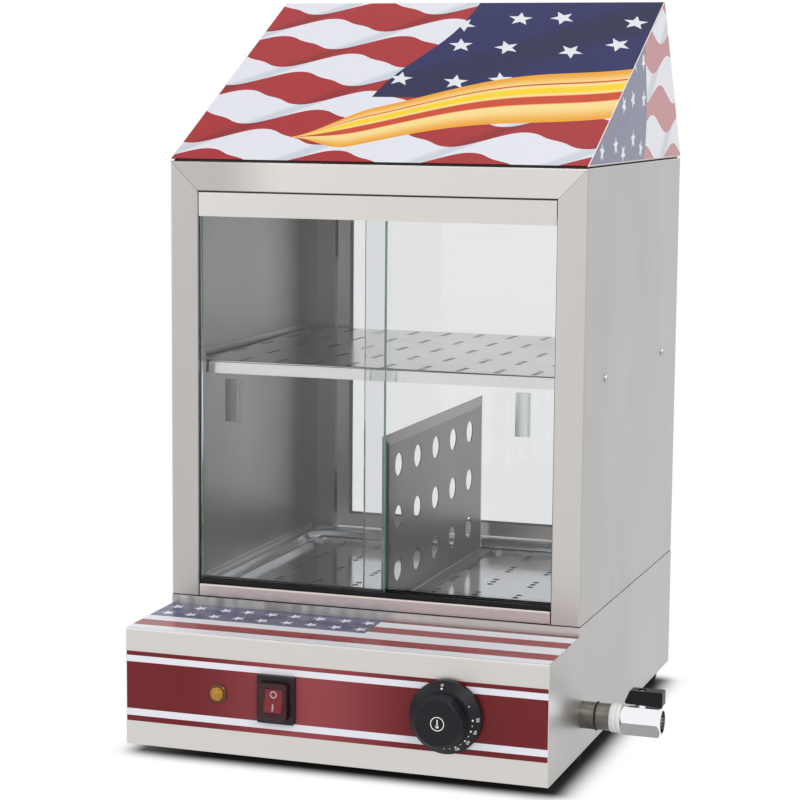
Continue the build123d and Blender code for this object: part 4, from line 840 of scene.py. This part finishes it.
def front_print():
    """A dark red film with a white line near each long edge and a soft lighter patch in the middle."""
    inks = bpy.context.scene.steamer_print
    film = print_film("front_film")
    x, _, z = film.axes()
    height = z - low("front_decal").z / MM
    cloud = film.noise(film.stretched(film.place(), (7.0, 7.0, 2.0)), 1.0, 3.0)
    patch = film.ramp(abs(x + 25), 105.0, 0.0) * 0.5
    colour = film.mix(patch + cloud * 0.12, inks.band, screen(176, 86, 92))
    for start, end in FRONT_LINES:
        colour = film.mix((height > start) & (height < end), colour, inks.white)
    film.set({"Base Color": colour})
    return film.material


def ledge_print():
    """A star field at the left of the ledge over bands of white and red, and bands alone on the right."""
    inks = bpy.context.scene.steamer_print
    film = print_film("ledge_film", 0.3)
    x, y, _ = film.axes()
    front = low("ledge_decal") / MM
    rear = high("ledge_decal") / MM
    depth = rear.y - front.y
    share = (rear.y - y) / depth
    band = inks.band
    white = inks.white
    # Painted sheen: noise lightens the navy as if a reflection washed it.
    painted_sheen = film.ramp(film.noise(film.stretched(film.place(), (22.0, 60.0, 1.0)), 1.0, 2.0), 0.42, 0.62)
    navy = film.mix(painted_sheen * 0.5, inks.navy, screen(112, 120, 140))
    deep = film.mix(0.5, inks.red, band)
    lower = [(0.68, white), (0.88, deep), (1, white)]
    right = banded(film, share, [(0.07, band), (0.25, white), (0.45, deep), *lower])
    left = banded(film, share, [(0.52, navy), *lower])
    from_rear = rear.y - 0.02 * depth - y
    shapes = stars(film, x - front.x, from_rear, pitch=0.24 * depth, radius=6.6, scatter=2.0, turn=0.2)
    left = film.mix(shapes & (share < 0.5), left, white)
    film.set({"Base Color": film.mix(x > LEDGE_FIELD, left, right)})
    return film.material


# ---------------- operators: sheet metal
class STEAMER_OT_sheet_metal(bpy.types.Operator):
    """Brush the case, cabinet, header, sill, rails and door frame"""

    bl_idname = "steamer.sheet_metal"
    bl_label = "Sheet Metal"

    def execute(self, context):
        settings = context.scene.steamer_sheet
        tone = settings.tone
        side = settings.side_shade_tone
        # Painted light and shade: the shares of the tone below are lit and shaded copies of one steel,
        # darker on the side panels and the divider, lighter on the door frame.
        left = brushed("steel_left_panel", "Z", shaded(tone, 0.74), side, shade=painted_inner_shade)
        right = brushed("steel_right_panel", "Z", shaded(tone, 0.88), shaded(side, 0.86), shade=painted_inner_shade)
        frame_steel = brushed("steel_door_frame", "Z", shaded(tone, 1.25), side, rough=0.3, keen=0.3)
        folds = brushed("steel_divider", "Z", shaded(tone, 0.36), rough=0.36, shade=painted_fold_light, keen=0.35)
        dress(left, "left_side_panel")
        dress(right, "right_side_panel")
        dress(frame_steel, "rear_door_frame")
        dress(folds, "divider")
        dress(brushed("steel_upright", "Z", tone, side), "shelf_rails")
        dress(brushed("steel_rail", "X", shaded(tone, 1.03), side, shade=painted_end_shade), "top_panel")
        dress(brushed("steel_case", "X", shaded(tone, 0.98), side, shade=painted_case_light), "base_housing")
        # Painted reflection of the ledge in the sill's pinkish tone.
        dress(brushed("steel_sill", "X", settings.sill_reflection_tone, rough=0.2, keen=0.4), "front_sill")
        dress(brushed("steel_level", "X", tone, side), "upper_track", "header_shell")
        dress(brushed("steel_pan", "Y", tone, side, shade=painted_rim_shadow), "water_pan")
        dress(brushed("steel_deep", "Y", tone, side), "cabinet_floor", "bottom_cover", "header_ends")
        return {"FINISHED"}


HOLE_RADIUS = 3.0 * MM
HOLES_IN_RUN = 3
HOLE_SPACING = 10.0 * MM
OUTER_BEND = (0, pi / 6, pi / 3, pi / 2)
INNER_BEND = (pi / 2, pi / 4, 0)


def perforated_plate(name, extent, thickness, grid, pitch, material):
    """A flat plate with rows of holes: each place of the grid has a short run of holes along Y."""
    layout = Layout(name, {
        "Width": extent[0], "Depth": extent[1], "Thickness": thickness, "Hole Radius": HOLE_RADIUS,
        "Holes In Run": HOLES_IN_RUN, "Run Offset": (0.0, HOLE_SPACING, 0.0),
        "Run Start": (0.0, -HOLE_SPACING * (HOLES_IN_RUN - 1) / 2, 0.0),
        "Columns": grid[0], "Rows": grid[1],
        "Grid Width": pitch[0] * (grid[0] - 1), "Grid Depth": pitch[1] * (grid[1] - 1),
    })
    size = layout.size
    circle = layout.node("GeometryNodeCurvePrimitiveCircle", None, {"Resolution": 14})
    layout.feed(circle.socket.node.inputs["Radius"], size("Hole Radius"))
    line = layout.node("GeometryNodeMeshLine", {"mode": "OFFSET"}, {
        "Count": size("Holes In Run"), "Start Location": size("Run Start"), "Offset": size("Run Offset")})
    runs = layout.node("GeometryNodeInstanceOnPoints", None, {"Points": line, "Instance": circle})
    places = layout.node("GeometryNodeMeshGrid", None, {
        "Size X": size("Grid Width"), "Size Y": size("Grid Depth"),
        "Vertices X": size("Columns"), "Vertices Y": size("Rows")})
    holes = layout.node("GeometryNodeInstanceOnPoints", None, {"Points": places, "Instance": runs})
    holes = layout.node("GeometryNodeRealizeInstances", None, {0: holes})
    outline = layout.node("GeometryNodeCurvePrimitiveQuadrilateral", None, {
        "Width": size("Width"), "Height": size("Depth")})
    outlines = layout.node("GeometryNodeJoinGeometry", None, {0: [holes, outline]})
    sheet = layout.node("GeometryNodeFillCurve", {"mode": "TRIANGLES"}, {"Curve": outlines})
    walls = layout.node("GeometryNodeExtrudeMesh", {"mode": "FACES"}, {
        "Mesh": sheet, "Offset Scale": size("Thickness"), "Individual": False})
    under = layout.node("GeometryNodeFlipFaces", None, {"Mesh": sheet})
    solid = layout.node("GeometryNodeJoinGeometry", None, {0: [walls, under]})
    solid = layout.node("GeometryNodeMergeByDistance", None, {"Geometry": solid, "Distance": 0.01 * MM})
    return layout.bake(solid, material)


def folded_plate(name, start, end, level, rise, thick, bend, wall, grid, pitch, material):
    """A perforated plate between two corners, its edges bent down (rise -1) or up (rise 1) into a wall.

    Level is the height of its outer face, and wall the (outset, height) points of the wall past the bend.
    """
    extent = (end.x - start.x - 2 * bend, end.y - start.y - 2 * bend)
    plate = perforated_plate(name + "_plate", extent, thick, grid, pitch, material)
    plate_level = level if rise > 0 else level - thick
    plate.transform(Matrix.Translation(((start.x + end.x) / 2, (start.y + end.y) / 2, plate_level)))
    work = bmesh.new()
    work.from_mesh(plate)
    profile = [(bend * sin(a) - bend, level + rise * bend * (1 - cos(a))) for a in OUTER_BEND]
    profile += wall
    inner = bend - thick
    profile += [(inner * sin(a) - bend, level + rise * (bend - inner * cos(a))) for a in INNER_BEND]
    moulding(work, start, end, profile)
    return work


class STEAMER_OT_shelf(bpy.types.Operator):
    """Punch the middle shelf and fold its flanges"""

    bl_idname = "steamer.shelf"
    bl_label = "Middle Shelf"

    def execute(self, context):
        material = brushed("steel_shelf", "X", screen(206, 206, 204), rough=0.2, shade=painted_shelf_light)
        start = low("middle_shelf")
        end = high("middle_shelf")
        thick = 1.0 * MM
        flange = [(0, start.z), (-thick, start.z)]
        work = folded_plate("shelf", start, end, end.z, -1, thick, bend=1.6 * MM, wall=flange,
                            grid=(11, 5), pitch=(32.4 * MM, 65.0 * MM), material=material)
        mesh = meshed("shelf", work, material)
        piece("shelf", creased(mesh), "cabinet", "stainless_steel", "middle_shelf")
        return {"FINISHED"}


class STEAMER_OT_tray(bpy.types.Operator):
    """Punch the lower tray, raise its walls and turn out its rim"""

    bl_idname = "steamer.tray"
    bl_label = "Lower Tray"

    def execute(self, context):
        material = brushed("steel_tray", "X", screen(186, 188, 190), rough=0.13)
        start = low("lower_tray")
        end = high("lower_tray")
        thick = 0.8 * MM
        rim = 4.5 * MM
        grip = 5.0 * MM
        lap = 0.4 * MM
        inset = Vector((rim + grip, rim))
        wall_low = start.xy + inset
        wall_high = end.xy - inset
        under = end.z - thick
        turned_out = [(0, under), (rim, under), (rim, end.z), (-thick, end.z)]
        work = folded_plate("tray", wall_low, wall_high, start.z, 1, thick, bend=2.4 * MM, wall=turned_out,
                            grid=(8, 5), pitch=(37.0 * MM, 56.5 * MM), material=material)
        for side in (-1, 1):
            low_x, high_x = sorted((side * (wall_high.x + rim - lap), side * end.x))
            block(work, (low_x, start.y, under), (high_x, end.y, end.z - 0.01 * MM))
        mesh = meshed("tray", work, material)
        piece("tray", creased(mesh), "cabinet", "stainless_steel", "lower_tray")
        return {"FINISHED"}


# ---------------- operators: glass, films and seals
class STEAMER_OT_glass(bpy.types.Operator):
    """Glaze the sliding doors and the rear door"""

    bl_idname = "steamer.glass"
    bl_label = "Glass"

    def execute(self, context):
        dress(float_glass("glass_left_door_glass", -PULL_X), "left_door_glass")
        dress(float_glass("glass_right_door_glass", PULL_X), "right_door_glass")
        dress(float_glass("glass_rear"), "rear_door_glass")
        return {"FINISHED"}


class STEAMER_OT_films(bpy.types.Operator):
    """Print the films of the header, the ledge and the front"""

    bl_idname = "steamer.films"
    bl_label = "Printed Films"

    def execute(self, context):
        dress(header_print(), "header_decal")
        dress(end_print(), "header_end_decals")
        dress(front_print(), "front_decal")
        dress(ledge_print(), "ledge_decal")
        return {"FINISHED"}


class STEAMER_OT_seals(bpy.types.Operator):
    """Finish the feet, gaskets, guides and the catch"""

    bl_idname = "steamer.seals"
    bl_label = "Seals and Feet"

    def execute(self, context):
        dress(soft_rubber("rubber"), "rubber_feet", "header_gasket", "drain_oring")
        dress(moulded("gasket_grey", screen(112, 114, 117), 0.5), "rear_door_gasket")
        dress(moulded("guide_plastic", screen(12, 13, 15), 0.42, gloss=0.25), "door_guides", "door_magnet")
        dress(moulded("gland_plastic", screen(30, 31, 33), 0.45), "cable_gland", "rear_door_knob")
        return {"FINISHED"}


# ---------------- operators: fittings
# Printed marks: their thickness, how far they sink into and rise off the rocker, and their line.
MARK_THICK = 0.12 * MM
MARK_SINK = 0.1 * MM
MARK_RISE = 0.08 * MM
MARK_LINE = 1.0 * MM

# The rocker: its pivot behind the frame, its face off the pivot, its angle at rest, the slope of its halves
# and its signs.
ROCKER_PIVOT_DEPTH = 7.0 * MM
ROCKER_FACE = 2.07 * MM
ROCKER_TILT = radians(-9.0)
ROCKER_SLOPE = atan2(1.2, 9.3)
MARK_OFFSET = 5.2 * MM
RING_RADIUS = 3.0 * MM
BAR_LENGTH = 5.8 * MM

# The dial: angles in degrees from the top, and (radius, depth) of both edges of its conical skirt.
DIAL_STEP = 20
DIAL_POINTER = -4.2
DIAL_ANGLES = (88.0, 109.6, 131.9, 155.0)
DIAL_SMALL = (60.4, 98.6, 120.7, 143.5, 167.0, 178.3, 267.0)
CONE_NEAR = (22.7 * MM, 9.5 * MM)
CONE_FAR = (29.6 * MM, 4.0 * MM)
FIGURE_HEIGHT = 3.7 * MM
FIGURE_RADIUS = 27.2 * MM
FIGURE_CREEP = 0.4 * MM
DOT_PLACE = 23.9 * MM
DOT_RADIUS = 0.85 * MM
SMALL_DOT_RADIUS = 0.5 * MM
POINTER_DOT = (24.0 * MM, 0.95 * MM)
POINTER_RING = (0.7 * MM, 1.1 * MM)
POINTER_RING_PLACE = 26.4 * MM
DISH_DEPTH = 0.4 * MM
SIGN_RING = (5.0 * MM, 5.7 * MM)
SIGN_BULB = 1.3 * MM
SIGN_BULB_DROP = 2.2 * MM
SIGN_STEM = (0.9 * MM, 5.4 * MM)
SIGN_STEM_RISE = 0.7 * MM


def flat_ring(inner, outer, under=-MARK_THICK / 2, over=MARK_THICK / 2):
    """Section of a thin flat ring, or of a disc where inner is 0."""
    return [(inner, under), (outer, under), (outer, over), (inner, over)]


class STEAMER_OT_lamp(bpy.types.Operator):
    """Finish the pilot lamp"""

    bl_idname = "steamer.lamp"
    bl_label = "Pilot Lamp"

    def execute(self, context):
        amber = context.scene.steamer_fittings.amber
        dress(tinted("lamp_collar", screen(104, 54, 18), 0.25, 0.15), "lamp_body")
        dress(tinted("lamp_lens", amber, 0.1, 0.5, cells=1.9), "lamp_lens")
        return {"FINISHED"}


class STEAMER_OT_switch(bpy.types.Operator):
    """Finish the switch and print its O and I"""

    bl_idname = "steamer.switch"
    bl_label = "Rocker Switch"

    def execute(self, context):
        fittings = context.scene.steamer_fittings
        dress(moulded("switch_black", fittings.black, 0.34, gloss=0.3), "switch_frame", "switch_body")
        dress(tinted("rocker_red", fittings.rocker, 0.2, 0.1), "switch_rocker")
        dress(clear_cover("splash_clear", screen(96, 40, 44)), "splash_cover")
        marks = moulded("mark_white", fittings.marks, 0.5)
        centre = middle("switch_frame")
        pivot = Vector((centre.x, high("switch_frame").y - ROCKER_PIVOT_DEPTH, centre.z))
        rest = Matrix.Translation(pivot) @ Matrix.Rotation(ROCKER_TILT, 4, "X")
        upper, lower = [
            rest @ Matrix.Translation((0, -ROCKER_FACE, side * MARK_OFFSET))
            @ Matrix.Rotation(side * ROCKER_SLOPE, 4, "X") for side in (1, -1)]
        work = bmesh.new()
        ring = flat_ring(RING_RADIUS - MARK_LINE, RING_RADIUS, -MARK_SINK, MARK_RISE)
        turned(work, ring, 32, upper @ Matrix.Rotation(pi / 2, 4, "X"))
        bar = lower @ Matrix.Diagonal((1.2 * MARK_LINE, 2 * MARK_RISE, BAR_LENGTH, 1))
        bmesh.ops.create_cube(work, size=1.0, matrix=bar)
        piece("rocker_marks", meshed("rocker_marks", work, marks), "power_rocker", "white_plastic")
        return {"FINISHED"}


class STEAMER_OT_dial(bpy.types.Operator):
    """Finish the heat dial and print its scale and sign"""

    bl_idname = "steamer.dial"
    bl_label = "Heat Dial"

    def execute(self, context):
        fittings = context.scene.steamer_fittings
        dress(moulded("dial_black", shaded(fittings.black, 1.1), 0.42, gloss=0.2), "thermostat_knob")
        marks = moulded("dial_marks", fittings.marks, 0.5)
        parts = []
        for step, angle in enumerate(DIAL_ANGLES):
            mesh = lettering(str(DIAL_STEP * (step + 1)), FIGURE_HEIGHT, MARK_THICK)
            mesh.transform(self.on_cone(angle, FIGURE_RADIUS - FIGURE_CREEP * step))
            parts.append(mesh)
        work = bmesh.new()
        dots = [(angle, DOT_PLACE, DOT_RADIUS) for angle in DIAL_ANGLES]
        dots += [(angle, DOT_PLACE, SMALL_DOT_RADIUS) for angle in DIAL_SMALL]
        dots.append((DIAL_POINTER, *POINTER_DOT))
        for angle, radius, size in dots:
            turned(work, flat_ring(0, size), 12, self.on_cone(angle, radius))
        turned(work, flat_ring(*POINTER_RING), 16, self.on_cone(DIAL_POINTER, POINTER_RING_PLACE))
        centre = middle("thermostat_knob")
        face = low("thermostat_knob").y + DISH_DEPTH
        dish = Matrix.Translation((centre.x, face, centre.z)) @ Matrix.Rotation(pi / 2, 4, "X")
        turned(work, flat_ring(*SIGN_RING), 40, dish)
        turned(work, flat_ring(0, SIGN_BULB), 16, dish @ Matrix.Translation((0, -SIGN_BULB_DROP, 0)))
        stem = Matrix.Translation((0, SIGN_STEM_RISE, 0)) @ Matrix.Diagonal((*SIGN_STEM, MARK_THICK, 1))
        bmesh.ops.create_cube(work, size=1.0, matrix=dish @ stem)
        parts.append(meshed("dial_dots", work))
        piece("dial_marks", joined("dial_marks", parts, marks), "heat_dial", "white_plastic")
        return {"FINISHED"}

    def on_cone(self, angle, radius):
        """A frame on the conical skirt: X along the rim, Y outwards, Z off the surface."""
        centre = middle("thermostat_knob")
        back = high("thermostat_knob").y
        near_y = back - CONE_NEAR[1]
        far_y = back - CONE_FAR[1]
        width = CONE_FAR[0] - CONE_NEAR[0]
        lean = atan2(far_y - near_y, width)
        depth = near_y + (radius - CONE_NEAR[0]) / width * (far_y - near_y)
        place = Matrix.Translation((centre.x, 0, centre.z)) @ Matrix.Rotation(radians(angle), 4, "Y")
        place = place @ Matrix.Translation((0, depth, radius))
        return place @ Matrix.Rotation(pi / 2 - lean, 4, "X") @ Matrix.Translation((0, 0, MARK_THICK))


class STEAMER_OT_drain(bpy.types.Operator):
    """Finish the drain pipe, tape, valve and lever"""

    bl_idname = "steamer.drain"
    bl_label = "Drain Valve"

    def execute(self, context):
        dress(chrome("valve_chrome", screen(246, 247, 250)), "valve_body")
        dress(bare_pipe("pipe_bare"), "drain_pipe", "drain_nipple")
        dress(plated("ball_chrome", screen(216, 216, 218), 0.08), "valve_ball", "valve_stem")
        dress(moulded("seat_white", screen(232, 232, 230), 0.5), "valve_seats")
        dress(self.wound_tape("tape_white"), "thread_tape")
        dress(moulded("lever_black", screen(15, 15, 20), 0.34, 500.0, 0.03, 0.2), "valve_lever")
        return {"FINISHED"}

    def wound_tape(self, name):
        """White thread tape: turns that run round the pipe on a slant, and fine fibres along it."""
        tape = Finish(name)
        x, y, z = tape.axes()
        wrap = (x * 1.7 + (z - y) * 0.12).math("SINE")
        fibre = tape.noise(tape.stretched(tape.place(), (900.0, 160.0, 160.0)), 1.0, 4.0)
        colour = tape.mix(wrap * 0.25 + 0.25, screen(240, 240, 238), screen(206, 206, 204))
        return tape.skin(colour, fibre * 0.2 + 0.45, wrap * 0.6 + fibre * 0.4, 0.16 * MM, 0.8)


# ---------------- operators: screws
CASE_HEAD = {"radius": 3.6 * MM, "height": 2.0 * MM, "shank": 1.95 * MM, "recess": 1.9 * MM}
LEVER_HEAD = {"radius": 3.0 * MM, "height": 1.8 * MM, "shank": 1.45 * MM, "recess": 1.6 * MM}
HEAD_SEGMENTS = 24
DOWN = (0, 0, -1)

# A pan head's crown as shares of its radius and height, and its recess as shares of the recess's reach.
CROWN = ((1, 0), (1, 0.4), (0.9, 0.75), (0.62, 1))
SLIT = 0.3
RECESS_TAPER = 0.75
RECESS_DEPTH = 0.35

# Piece, node, body, head, length of the shank and direction; None is the way out of each screw's own panel.
SCREWS = (
    ("cabinet_screws", "panel_screws", "cabinet", CASE_HEAD, 3 * MM, None),
    ("base_screws", "underside_screws", "cabinet", CASE_HEAD, 5 * MM, DOWN),
    ("sign_bolts", "header_bolts", "cabinet", CASE_HEAD, 6 * MM, DOWN),
    ("handle_screw", "lever_screw", "drain_handle", LEVER_HEAD, 2 * MM, (0, 0, 1)),
)


def pan_head(work, length, radius, height, shank, recess):
    """A pan-head screw with a cross recess, its seat at 0 and its axis along Z."""
    profile = [(0, -length), (shank, -length), (shank, 0)]
    profile += [(radius * share, height * rise) for share, rise in CROWN]
    turned(work, profile, HEAD_SEGMENTS, Matrix.Identity(4), closed=False)
    work.verts.ensure_lookup_table()
    circle = list(work.verts[-HEAD_SEGMENTS:])
    slit = recess * SLIT
    outline = []
    for quarter in range(4):
        turn = Matrix.Rotation(quarter * pi / 2, 4, "Z")
        for x, y in ((slit, slit), (slit, recess), (-slit, recess)):
            outline.append(work.verts.new(turn @ Vector((x, y, height))))
    sunk = Vector((0, 0, -height * RECESS_DEPTH))
    floor = [work.verts.new(vertex.co * RECESS_TAPER + sunk) for vertex in outline]
    edges = [work.edges.get((circle[i - 1], circle[i])) for i in range(HEAD_SEGMENTS)]
    count = len(outline)
    for number in range(count):
        onward = (number + 1) % count
        work.faces.new((outline[onward], outline[number], floor[number], floor[onward]))
        edges.append(work.edges.get((outline[number], outline[onward])))
    work.faces.new(floor)
    bmesh.ops.triangle_fill(work, edges=edges, use_beauty=True, use_dissolve=False)


def screw_set(name, places, length, head, material):
    """Screws at a list of (point, direction), each with its head that way."""
    work = bmesh.new()
    pan_head(work, length, **head)
    pattern = bpy.data.objects.new("screw_pattern", creased(meshed("screw_pattern", work)))
    bpy.context.scene.collection.objects.link(pattern)
    points = bpy.data.meshes.new(name + "_points")
    points.from_pydata([tuple(point) for point, _ in places], [], [])
    facing = points.attributes.new("facing", "FLOAT_VECTOR", "POINT")
    facing.data.foreach_set("vector", [part for _, direction in places for part in direction])
    layout = Layout(name, {"Pattern": pattern})
    entry = Signal(layout, layout.entry.outputs[0])
    shape = layout.node("GeometryNodeObjectInfo", None, {"Object": layout.size("Pattern")}, "Geometry")
    aim = layout.node("GeometryNodeInputNamedAttribute", {"data_type": "FLOAT_VECTOR"}, {"Name": "facing"})
    turn = layout.node("FunctionNodeAlignRotationToVector", {"axis": "Z"}, {"Vector": aim})
    screws = layout.node("GeometryNodeInstanceOnPoints", None, {
        "Points": entry, "Instance": shape, "Rotation": turn})
    mesh = layout.bake(screws, material, points)
    bpy.data.objects.remove(pattern)
    return mesh


def shell_boxes(node):
    """The lowest and highest corner of each loose shell of a CAD node."""
    work = bmesh.new()
    work.from_mesh(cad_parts[node].data)
    bmesh.ops.remove_doubles(work, verts=work.verts, dist=DOUBLE)
    seen = set()
    boxes = []
    for first in work.verts:
        if first in seen:
            continue
        seen.add(first)
        group = [first]
        for vertex in group:
            near = [edge.other_vert(vertex) for edge in vertex.link_edges]
            fresh = [other for other in near if other not in seen]
            seen.update(fresh)
            group.extend(fresh)
        spans = [[vertex.co[axis] for vertex in group] for axis in range(3)]
        boxes.append((Vector([min(span) for span in spans]), Vector([max(span) for span in spans])))
    work.free()
    return boxes


def panel_side(start, end):
    """The way that a screw of the cabinet points: sideways where it is short across, or to the rear.

    The flat ones that the dial covers have no room for a pan head, and so no way.
    """
    if end.x - start.x < 1.9 * CASE_HEAD["radius"]:
        return (1, 0, 0) if start.x + end.x > 0 else (-1, 0, 0)
    return (0, 1, 0) if end.y > 0 else None


def seat(start, end, direction, height):
    """Where a head rests: its height inside the outer end of the screw's box."""
    reach = abs((end - start).dot(Vector(direction))) / 2 - height
    return (start + end) / 2 + Vector(direction) * reach


class STEAMER_OT_screws(bpy.types.Operator):
    """Replace the plain screws by pan heads with cross recesses"""

    bl_idname = "steamer.screws"
    bl_label = "Screws"

    def execute(self, context):
        zinc = plated("screw_plated", screen(196, 196, 194), 0.3)
        for name, node, body, head, length, direction in SCREWS:
            places = []
            for start, end in shell_boxes(node):
                way = direction or panel_side(start, end)
                if way:
                    places.append((seat(start, end, way, head["height"]), way))
            piece(name, screw_set(name, places, length, head, zinc), body, "plated_steel", node)
        return {"FINISHED"}


class STEAMER_OT_inside(bpy.types.Operator):
    """Finish the parts inside the case and at the rear door"""

    bl_idname = "steamer.inside"
    bl_label = "Inner Parts"

    def execute(self, context):
        hinge = plated("hinge_plated", screen(190, 190, 190), 0.3)
        dress(hinge, "hinge_fixed_leaves", "hinge_moving_leaves", "hinge_pins", "thermostat_spindle")
        dress(plated("case_zinc", screen(176, 178, 180), 0.4, 90.0), "thermostat_body")
        sheath = plated("element_sheath", screen(120, 116, 110), 0.36, 120.0)
        dress(sheath, "heating_element", "thermostat_bulb")
        dress(plated("brass", screen(198, 160, 84), 0.26), "element_bushings")
        dress(moulded("block_plastic", screen(222, 220, 210), 0.45), "terminal_block")
        return {"FINISHED"}


# ---------------- operator: stage
CAMERA_PLACE = (631.655 * MM, -1915.744 * MM, 554.022 * MM)
CAMERA_AZIMUTH = radians(-18.7407)
CAMERA_ELEVATION = radians(-7.6044)
CAMERA_ROLL = radians(0.4820)
SENSOR_WIDTH = 36.0

# Each lamp's place and size in metres; they aim at LIT_POINT.
LAMPS = {"key": ((1.5, -2.0, 1.9), 1.6), "fill": ((-1.9, -1.7, 1.1), 1.6), "top": ((0.0, 0.2, 2.3), 1.8)}
LIT_POINT = Vector((0, 0, 0.3))

# The painted contact shadow under the case, in metres: its middle, how far its dark core keeps inside the
# case, and the distances over which the floor grows pale and white.
SHADOW_MIDDLE = (-0.004, 0.012)
SHADOW_INSET = (0.004, 0.03)
SHADOW_FADE = 0.03
WHITE_FADE = (0.002, 0.034)
FLOOR_RADIUS = 6.0


class STEAMER_OT_stage(bpy.types.Operator):
    """Lay the floor, hang the lamps and set the camera"""

    bl_idname = "steamer.stage"
    bl_label = "Studio"

    def execute(self, context):
        settings = context.scene.steamer_stage
        self.floor(settings)
        self.world(context.scene, settings)
        for name, (place, size) in LAMPS.items():
            self.lamp(name, place, size, getattr(settings, name))
        self.camera(context.scene, settings)
        context.scene.view_settings.view_transform = "Standard"
        return {"FINISHED"}

    def floor(self, settings):
        finish = Finish("floor_pale", {"Roughness": 0.6, "Specular IOR Level": 0.2})
        x, y, _ = finish.axes(1.0)
        speck = finish.noise(finish.place(), 40.0, 3.0)
        case = high("base_housing")
        out_x = abs(x - SHADOW_MIDDLE[0]) - (case.x - SHADOW_INSET[0]) | 0.0
        out_y = abs(y - SHADOW_MIDDLE[1]) - (case.y - SHADOW_INSET[1]) | 0.0
        distance = (out_x * out_x + out_y * out_y).math("SQRT")
        # Painted shadow: the floor's colour turns nearly black inside the case's outline and pales over
        # SHADOW_FADE.
        open_floor = finish.ramp(distance, 0.0, SHADOW_FADE) * (1 - speck * 0.03)
        finish.set({"Base Color": finish.mix(open_floor, shaded(settings.floor, 0.04), settings.floor)})
        white = finish.node("ShaderNodeEmission", None, {"Color": (1, 1, 1), "Strength": 1.0})
        finish.blend(finish.ramp(distance, *WHITE_FADE) * finish.plain_view(), white)
        work = bmesh.new()
        bmesh.ops.create_circle(work, cap_ends=True, segments=64, radius=FLOOR_RADIUS)
        floor = bpy.data.objects.new("floor", meshed("floor", work, finish.material))
        bpy.context.scene.collection.objects.link(floor)

    def world(self, scene, settings):
        world = bpy.data.worlds.new("studio")
        world.use_nodes = True
        scene.world = world
        graph = Graph(world.node_tree)
        strength = graph.plain_view() * (1 - settings.ambient) + settings.ambient
        backdrop = world.node_tree.nodes["Background"]
        graph.feed(backdrop.inputs["Color"], (1, 1, 1))
        graph.feed(backdrop.inputs["Strength"], strength)

    def lamp(self, name, place, size, power):
        data = bpy.data.lights.new(name, "AREA")
        data.shape = "DISK"
        data.size = size
        data.energy = power
        lamp = bpy.data.objects.new(name, data)
        lamp.location = place
        lamp.rotation_euler = (LIT_POINT - Vector(place)).to_track_quat("-Z", "Y").to_euler()
        bpy.context.scene.collection.objects.link(lamp)

    def camera(self, scene, settings):
        flat = Vector((sin(CAMERA_AZIMUTH), cos(CAMERA_AZIMUTH), 0))
        ahead = flat * cos(CAMERA_ELEVATION) + Vector((0, 0, sin(CAMERA_ELEVATION)))
        level = Vector((cos(CAMERA_AZIMUTH), -sin(CAMERA_AZIMUTH), 0))
        upward = level.cross(ahead)
        right = level * cos(CAMERA_ROLL) + upward * sin(CAMERA_ROLL)
        up = upward * cos(CAMERA_ROLL) - level * sin(CAMERA_ROLL)
        data = bpy.data.cameras.new("camera")
        data.lens = settings.lens
        data.sensor_width = SENSOR_WIDTH
        data.clip_end = 50.0
        camera = bpy.data.objects.new("camera", data)
        turn = Matrix((right, up, -ahead)).transposed().to_4x4()
        camera.matrix_world = Matrix.Translation(CAMERA_PLACE) @ turn
        scene.collection.objects.link(camera)
        scene.camera = camera


# ---------------- panel and registration
STEPS = (
    STEAMER_OT_sheet_metal,
    STEAMER_OT_shelf,
    STEAMER_OT_tray,
    STEAMER_OT_glass,
    STEAMER_OT_films,
    STEAMER_OT_seals,
    STEAMER_OT_lamp,
    STEAMER_OT_switch,
    STEAMER_OT_dial,
    STEAMER_OT_drain,
    STEAMER_OT_screws,
    STEAMER_OT_inside,
    STEAMER_OT_stage,
)
SETTINGS = {
    "steamer_sheet": SheetSettings,
    "steamer_print": PrintSettings,
    "steamer_glass": GlassSettings,
    "steamer_fittings": FittingSettings,
    "steamer_stage": StageSettings,
}


class STEAMER_PT_panel(bpy.types.Panel):
    """Lists the finishes and their settings"""

    bl_idname = "STEAMER_PT_panel"
    bl_label = "Steam Cabinet"
    bl_space_type = "VIEW_3D"
    bl_region_type = "UI"
    bl_category = "Steamer"

    def draw(self, context):
        for step in STEPS:
            self.layout.operator(step.bl_idname)
        for name, group in SETTINGS.items():
            box = self.layout.box()
            box.label(text=group.__doc__)
            for prop in group.__annotations__:
                box.prop(getattr(context.scene, name), prop)


def register():
    for group in SETTINGS.values():
        bpy.utils.register_class(group)
    for step in (*STEPS, STEAMER_PT_panel):
        bpy.utils.register_class(step)
    for name, group in SETTINGS.items():
        setattr(bpy.types.Scene, name, PointerProperty(type=group))


def unregister():
    for name in SETTINGS:
        delattr(bpy.types.Scene, name)
    for step in reversed((*STEPS, STEAMER_PT_panel)):
        bpy.utils.unregister_class(step)
    for group in SETTINGS.values():
        bpy.utils.unregister_class(group)


def main():
    register()
    for step in STEPS:
        family, name = step.bl_idname.split(".")
        getattr(getattr(bpy.ops, family), name)()
    bpy.context.view_layer.update()


if __name__ == "__main__":
    main()
